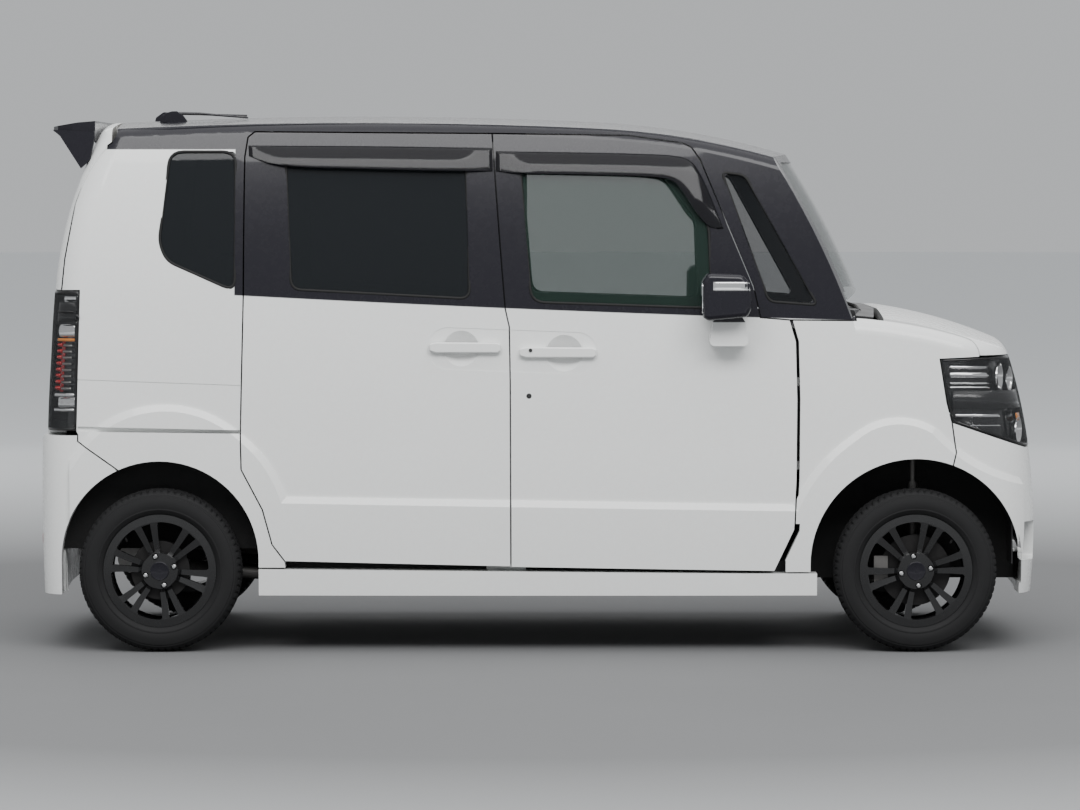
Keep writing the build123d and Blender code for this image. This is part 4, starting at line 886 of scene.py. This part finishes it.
def seal_ring(name, outline, radius, side, body):
    """A rubber bead along an outline of (x, z) points on the side of the car."""
    line = [Vector((x, side * (side_out(x, z) + SEAL_PROUD), z)) for x, z in rounded(outline, radius)]
    half, crown = SEAL_WIDE / 2, SEAL_WIDE * 0.3
    section = ((-half, -0.006), (-half, 0.0), (-crown, 0.0016), (crown, 0.0016), (half, 0.0), (half, -0.006))
    rings = []
    for i, point in enumerate(line):
        ahead = (line[(i + 1) % len(line)] - line[i - 1]).normalized()
        out = Vector((0, side, SEAL_LEAN))
        out = (out - ahead * out.dot(ahead)).normalized()
        across = ahead.cross(out)
        rings.append([point + across * u + out * (v - 0.001) for u, v in section])
    piece = Piece(name, "seal", body)
    piece.grid(rings, loop_u=True, loop_v=True)
    piece.done(sharp=50)


def side_windows(side, tag):
    for name, (outline, radius) in WINDOWS.items():
        body = "front_door_" + tag if name == "door_seal" else "body"
        seal_ring(name + "_" + tag, [(x * METRE, z * METRE) for x, z in outline], radius, side, body)


# Key holes of a front door: x, z, radius, finish, and how far out the face is (None: the side's skin)
HANDLE_FACE = 0.7385
KEY_HOLES = ((-0.0296, 0.8557, 0.009, "black_trim", None),
             (-0.0245, 1.0083, 0.006, "soft_black", HANDLE_FACE))


def key_holes(side, tag):
    for k, (x, z, size, material, face) in enumerate(KEY_HOLES):
        key = Piece("key_%s_%d" % (tag, k), material, "front_door_" + tag)
        key.lathe((x, side * ((face or side_out(x, z)) - 0.004), z), (0, side, 0),
                  [(0.0, 0.0), (0.0, size), (0.0045, size), (0.0055, size * 0.7), (0.0046, 0.0)], 20)
        key.done()


for side, tag in SIDES:
    side_windows(side, tag)
    key_holes(side, tag)


# Wipers lie on the cowl and the foot of the windscreen
WIPER_FOOT = [(0, 0.0), (0, 0.016), (0.018, 0.015), (0.022, 0.010), (0.023, 0.0)]
WIPER_LIFT = Vector((0.006, 0, 0.010))  # how far the arm's middle arches
BLADE_STEPS = 8
# The arm's root and tip, and the blade's two ends
WIPERS = {
    "wiper_right": ((1.085, -0.47, 1.120), (1.045, 0.02, 1.150), (1.040, -0.28, 1.150), (1.050, 0.36, 1.152)),
    "wiper_left": ((1.080, 0.14, 1.122), (1.050, 0.48, 1.150), (1.046, 0.28, 1.150), (1.036, 0.60, 1.153)),
}


def wiper(name, places):
    root, tip, start, end = [Vector(place) for place in places]
    arm = Piece(name + "_arm", "soft_black")
    arm.lathe(root - Vector((0, 0, 0.012)), (0.25, 0, 1), WIPER_FOOT, 24)
    arm.tube([root + Vector((0, 0, 0.008)), root.lerp(tip, 0.3) + WIPER_LIFT * 1.4,
              root.lerp(tip, 0.7) + WIPER_LIFT, tip + WIPER_LIFT * 0.6], [0.009, 0.0075, 0.0055, 0.004], 10)
    arm.done()
    blade = Piece(name + "_blade", "seal")
    arch = Vector((0.002, 0, 0.004))
    parts = [k / BLADE_STEPS for k in range(BLADE_STEPS + 1)]
    blade.tube([start.lerp(end, part) + arch * math.sin(math.pi * part) for part in parts],
               [0.003] + [0.0055] * (BLADE_STEPS - 1) + [0.003], 8)
    blade.done()


for name, places in WIPERS.items():
    wiper(name, places)


# Seats: padded pieces over the plain seat solids, as (x, z) outlines in millimetres
SEAT_CUSHION = [(-130, 395), (330, 425), (395, 480), (385, 545), (300, 575), (-60, 535), (-120, 560)]
SEAT_BACK = [(-60, 540), (-135, 1090), (-175, 1130), (-255, 1120), (-285, 1075), (-190, 480), (-110, 470)]
SEAT_HEAD = [(-175, 1165), (-170, 1290), (-205, 1335), (-255, 1325), (-272, 1180), (-235, 1150)]
HEAD_WIDE = 0.25
STALK_Y = 0.06  # a headrest's two stalks, either side of its middle
STALK_LOW, STALK_HIGH = (-205, 1085), (-222, 1200)
# Shift in x in millimetres, then in metres: middle in y, width, middles of the headrests
SEATS = {
    "seat_right": (0, -0.32, 0.50, (-0.32,)),
    "seat_left": (0, 0.32, 0.50, (0.32,)),
    "seat_rear": (-850, 0.0, 1.05, (-0.27, 0.27)),
}
PAD_SHRINK = 0.010  # a pad starts this much inside its outline, because it swells
PAD_CORNER = 0.045
PAD_EDGE = 0.05  # how far in from its ends a pad is drawn in
PAD_PULL = 0.030
PAD_STEPS = (0.0, 0.02, 0.06, 0.14, 0.3, 0.5, 0.7, 0.86, 0.94, 0.98, 1.0)
SEWN = (0.22, 0.78)  # shares of the width where side rolls meet the middle panel
SEAM_WIDE, SEAM_DEEP = 0.02, 0.006
PAD_VOXEL = 0.011
PAD_PRESSURE, PAD_CAP, PAD_FRAMES = 3.0, 0.012, 14


def pad_shape(name, outline, low, high):
    """A closed pad from an (x, z) outline between two y values, drawn in towards its ends."""
    shape = Piece(name, "seat")
    points = rounded(outline, PAD_CORNER, 6)
    middle = Vector((sum(p[0] for p in points) / len(points), sum(p[1] for p in points) / len(points)))
    wide = high - low
    rings = []
    for t in PAD_STEPS:
        edge = min(t, 1 - t) * wide
        pull = PAD_SHRINK + PAD_PULL * max(0.0, 1 - edge / PAD_EDGE) ** 2
        y = low + PAD_SHRINK + t * (wide - 2 * PAD_SHRINK)
        ring = []
        for x, z in points:
            away = Vector((x, z)) - middle
            ring.append((x - away.x / away.length * pull, y, z - away.y / away.length * pull))
        rings.append(ring)
    shape.close_ends(shape.grid(rings, loop_v=True))
    return shape.done(sharp=180)


def cushion(name, outline, low, high):
    pad = pad_shape(name, outline, low, high)
    remesh = pad.modifiers.new("even", "REMESH")
    remesh.mode = "VOXEL"
    remesh.voxel_size = PAD_VOXEL
    remesh.use_smooth_shade = True
    baked(pad)
    blow_up(pad)
    sew(pad, low, high)
    smooth = pad.modifiers.new("smooth", "SUBSURF")
    smooth.levels = smooth.render_levels = 1
    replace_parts(pad, "seats")


def baked(piece):
    """Apply the piece's modifiers to its mesh."""
    graph = bpy.context.evaluated_depsgraph_get()
    mesh = bpy.data.meshes.new_from_object(piece.evaluated_get(graph))
    piece.modifiers.clear()
    old, piece.data = piece.data, mesh
    bpy.data.meshes.remove(old)
    all_smooth(mesh)


def blow_up(piece):
    """Swell the pad as cloth under pressure. No point moves farther than the cap."""
    before = [v.co.copy() for v in piece.data.vertices]
    settings = piece.modifiers.new("cloth", "CLOTH").settings
    settings.quality = 4
    settings.mass = 0.4
    settings.use_pressure = True
    settings.uniform_pressure_force = PAD_PRESSURE
    settings.effector_weights.gravity = 0.0
    for frame_number in range(1, PAD_FRAMES + 1):
        scene.frame_set(frame_number)
    baked(piece)
    for vert, start in zip(piece.data.vertices, before):
        moved = vert.co - start
        if moved.length > PAD_CAP:
            vert.co = start + moved * (PAD_CAP / moved.length)
    scene.frame_set(1)


def sew(pad, low, high):
    """Press in the sewn lines between the middle panel and the side rolls."""
    for vert in pad.data.vertices:
        part = (vert.co.y - low) / (high - low)
        for line in SEWN:
            near = abs(part - line) * (high - low)
            if near < SEAM_WIDE:
                vert.co -= vert.normal * SEAM_DEEP * (1 - near / SEAM_WIDE) ** 2


def seat_pads(name, shift, middle, wide, heads):
    def moved(outline):
        return [((x + shift) * METRE, z * METRE) for x, z in outline]

    low, high = middle - wide / 2, middle + wide / 2
    cushion(name + "_cushion", moved(SEAT_CUSHION), low, high)
    cushion(name + "_back", moved(SEAT_BACK), low, high)
    for k, y in enumerate(heads):
        cushion("%s_head_%d" % (name, k), moved(SEAT_HEAD), y - HEAD_WIDE / 2, y + HEAD_WIDE / 2)
        stalk = Piece("%s_stalk_%d" % (name, k), "chrome")
        (x0, z0), (x1, z1) = moved((STALK_LOW, STALK_HIGH))
        for d in (-STALK_Y, STALK_Y):
            stalk.tube([(x0, y + d, z0), (x1, y + d, z1)], 0.006)
        stalk.done()


def seat_frames():
    """Two rails under each seat."""
    rails = Piece("seat_frames", "soft_black")
    for shift, middle, wide, _ in SEATS.values():
        x = shift * METRE
        for y in (middle - wide / 2 + 0.08, middle + wide / 2 - 0.08):
            rails.prism(rectangle(0.010 + x, 0.300 + x, 0.3005, 0.420), y - 0.02, y + 0.02)
    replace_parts(rails.done(bevel=0.003), "seats")


for name, seat in SEATS.items():
    seat_pads(name, *seat)
seat_frames()


# Door mirrors: a lamp strip round the outer end, and the glass
MIRROR_CENTRE = (0.640, 0.800)
STRIP_FROM, STRIP_TURN, STRIP_STEPS = -43, 100, 14
STRIP_SECTION = ((1.208, -0.0002), (1.212, -0.0009), (1.234, -0.0009), (1.238, -0.0002))  # height, inset
PANE_X, PANE_Y, PANE_Z = (0.5410, 0.5440), (0.756, 0.856), (1.134, 1.236)


def mirror_trim(side, tag):
    head = Round("mirror_" + tag, MIRROR_CENTRE, side)
    angles = [STRIP_FROM + STRIP_TURN * k / STRIP_STEPS for k in range(STRIP_STEPS + 1)]
    strip = [[head.at(angle, z, inset) for z, inset in STRIP_SECTION] for angle in angles]
    lamp = Piece("mirror_lamp_" + tag, "chrome", "front_door_" + tag)
    lamp.grid([row for row in strip if all(row)])
    lamp.done(thick=0.0008, sharp=40)
    pane = Piece("mirror_glass_" + tag, "mirror_glass", "front_door_" + tag)
    low, high = sorted(side * y for y in PANE_Y)
    pane.prism(rounded(rectangle(low, high, *PANE_Z), 0.018), *PANE_X, "yz")
    pane.done(bevel=0.001)


for side, tag in SIDES:
    mirror_trim(side, tag)


# Rear reflectors low in the bumper, fog lamps and dark linings in the front openings
REFLECTOR_Y, REFLECTOR_LONG, REFLECTOR_STEPS = 0.430, 0.130, 8
REFLECTOR_SECTION = ((0.352, 0.0002), (0.360, 0.0012), (0.378, 0.0012), (0.386, 0.0002))  # height, proud
FOG_PLACE = (1.600, 0.560, 0.365)
FOG_LINING_X, FOG_LINING_Y, FOG_LINING_Z = (1.585, 1.589), (0.485, 0.640), (0.290, 0.440)
# Distance along the axis and radius
FOG_BOWL = [(0.0, 0.0), (0.004, 0.018), (0.016, 0.032), (0.028, 0.040), (0.030, 0.043), (0.026, 0.045),
            (-0.010, 0.045)]
FOG_GLASS = [(0.036, 0.0), (0.0345, 0.015), (0.031, 0.030), (0.027, 0.041)]


def reflector(side, tag, skin):
    rows = []
    for k in range(REFLECTOR_STEPS + 1):
        y = side * (REFLECTOR_Y + REFLECTOR_LONG * k / REFLECTOR_STEPS)
        hits = [skin.meet((-2.2, y, z), (1, 0, 0)) for z, _ in REFLECTOR_SECTION]
        if all(hits):
            rows.append([hit - Vector((proud, 0, 0)) for hit, (_, proud) in zip(hits, REFLECTOR_SECTION)])
    piece = Piece("reflector_" + tag, "red_lens")
    piece.grid(rows)
    piece.done(thick=0.0008, sharp=40)


def fog_lamp(side, tag):
    at = Vector((FOG_PLACE[0], side * FOG_PLACE[1], FOG_PLACE[2]))
    fog = Piece("fog_lamp_" + tag, "chrome")
    fog.lathe(at, (1, 0, 0), FOG_BOWL, 32)
    fog.done()
    fog_glass = Piece("fog_glass_" + tag, "lens")
    fog_glass.lathe(at, (1, 0, 0), FOG_GLASS, 32)
    fog_glass.done(thick=0.001)
    lining = Piece("fog_lining_" + tag, "black_trim")
    low, high = sorted(side * y for y in FOG_LINING_Y)
    lining.prism(rectangle(low, high, *FOG_LINING_Z), *FOG_LINING_X, "yz")
    lining.done()


rear_skin = Skin("rear_bumper", "tailgate")
for side, tag in SIDES:
    reflector(side, tag, rear_skin)
    fog_lamp(side, tag)


# Aerial: a foot on the roof near its rear edge, its mast folded forward
AERIAL_Y = -0.330
AERIAL_X, MAST_TIP_X = -1.235, -0.985
AERIAL_TALL = 0.036
# The foot's profile from the rear: x, and share of its height
AERIAL_PROFILE = ((-1.284, 0.0), (-1.280, 0.55), (-1.262, 0.86), (-1.243, 1.0), (-1.226, 1.0),
                  (-1.205, 0.62), (-1.188, 0.0))


def aerial():
    roof = Skin("roof_panel")
    foot, tip = [roof.meet((x, AERIAL_Y, 3.0), (0, 0, -1)) for x in (AERIAL_X, MAST_TIP_X)]
    base, top = foot.z - 0.002, min(foot.z + AERIAL_TALL, cad_high[2] - 0.0005)
    piece = Piece("aerial", "gloss_black")
    outline = [(x, base + (top - base) * share) for x, share in AERIAL_PROFILE]
    piece.prism(outline, AERIAL_Y - 0.015, AERIAL_Y + 0.015)
    piece.tube([(-1.238, AERIAL_Y, top - 0.007), (-1.150, AERIAL_Y, top - 0.008),
                (MAST_TIP_X, AERIAL_Y, tip.z + 0.006)], [0.0055, 0.0045, 0.003], 10)
    piece.done(bevel=0.004)


aerial()


# Floor, light and camera
FLOOR_R = 90.0
FLOOR_NEAR, FLOOR_FAR = (0.16, 0.162, 0.165), (0.90, 0.92, 0.93, 1.0)
FLOOR_FADE = (3.5, 11.0)  # from the car, where one colour starts to turn into the other, and ends
SKY, SKY_STRENGTH = (0.86, 0.88, 0.90, 1), 0.62
# Place, the point it looks at, width, height and watts
LIGHTS = {
    "top": ((0, -1.5, 8.0), (0, 0, 0), 12.0, 9.0, 520.0),
    "front_side": ((1.0, -10.5, 9.5), (0, 0, 0.8), 15.0, 5.0, 1900.0),
    "back": ((0, 9.0, 5.5), (0, 0, 1.0), 12.0, 4.0, 200.0),
}
CAMERA_PLACE = (0.007, -15.7, 1.555)
CAMERA_DIP = 2.787  # degrees below level
CAMERA_LENS = 150.37  # millimetres, for a sensor 36 mm wide


def studio_floor():
    mesh = bpy.data.meshes.new("studio_floor")
    disc = bmesh.new()
    bmesh.ops.create_circle(disc, cap_ends=True, segments=64, radius=FLOOR_R)
    disc.to_mesh(mesh)
    disc.free()
    floor = bpy.data.objects.new("studio_floor", mesh)
    scene.collection.objects.link(floor)
    g = Graph("studio_paper")
    x, y, _ = g.place()
    away = g.math("SQRT", g.plus(g.times(x, x), g.times(y, y)))
    near = g.shade(g.noise(0.8, 3.0), FLOOR_NEAR, 0.96, 1.04)
    g.set(base=g.mix(g.span(away, *FLOOR_FADE), near, FLOOR_FAR), rough=0.85)
    mesh.materials.append(g.material)


def studio_light():
    world = scene.world or bpy.data.worlds.new("studio_world")
    scene.world = world
    world.use_nodes = True
    background = world.node_tree.nodes["Background"]
    background.inputs[0].default_value = SKY
    background.inputs[1].default_value = SKY_STRENGTH
    for name, (at, look, wide, tall, watts) in LIGHTS.items():
        data = bpy.data.lights.new("light_" + name, "AREA")
        data.shape = "RECTANGLE"
        data.size, data.size_y, data.energy = wide, tall, watts
        lamp = bpy.data.objects.new("light_" + name, data)
        lamp.location = at
        lamp.rotation_euler = (Vector(look) - Vector(at)).to_track_quat("-Z", "Y").to_euler()
        lamp.visible_camera = False
        scene.collection.objects.link(lamp)


def studio_camera():
    data = bpy.data.cameras.new("camera")
    data.sensor_width = 36.0
    data.lens = CAMERA_LENS
    data.clip_end = 200.0
    camera = bpy.data.objects.new("camera", data)
    camera.location = CAMERA_PLACE
    camera.rotation_euler = (math.radians(90 - CAMERA_DIP), 0, 0)
    scene.collection.objects.link(camera)
    scene.camera = camera


studio_floor()
studio_light()
studio_camera()
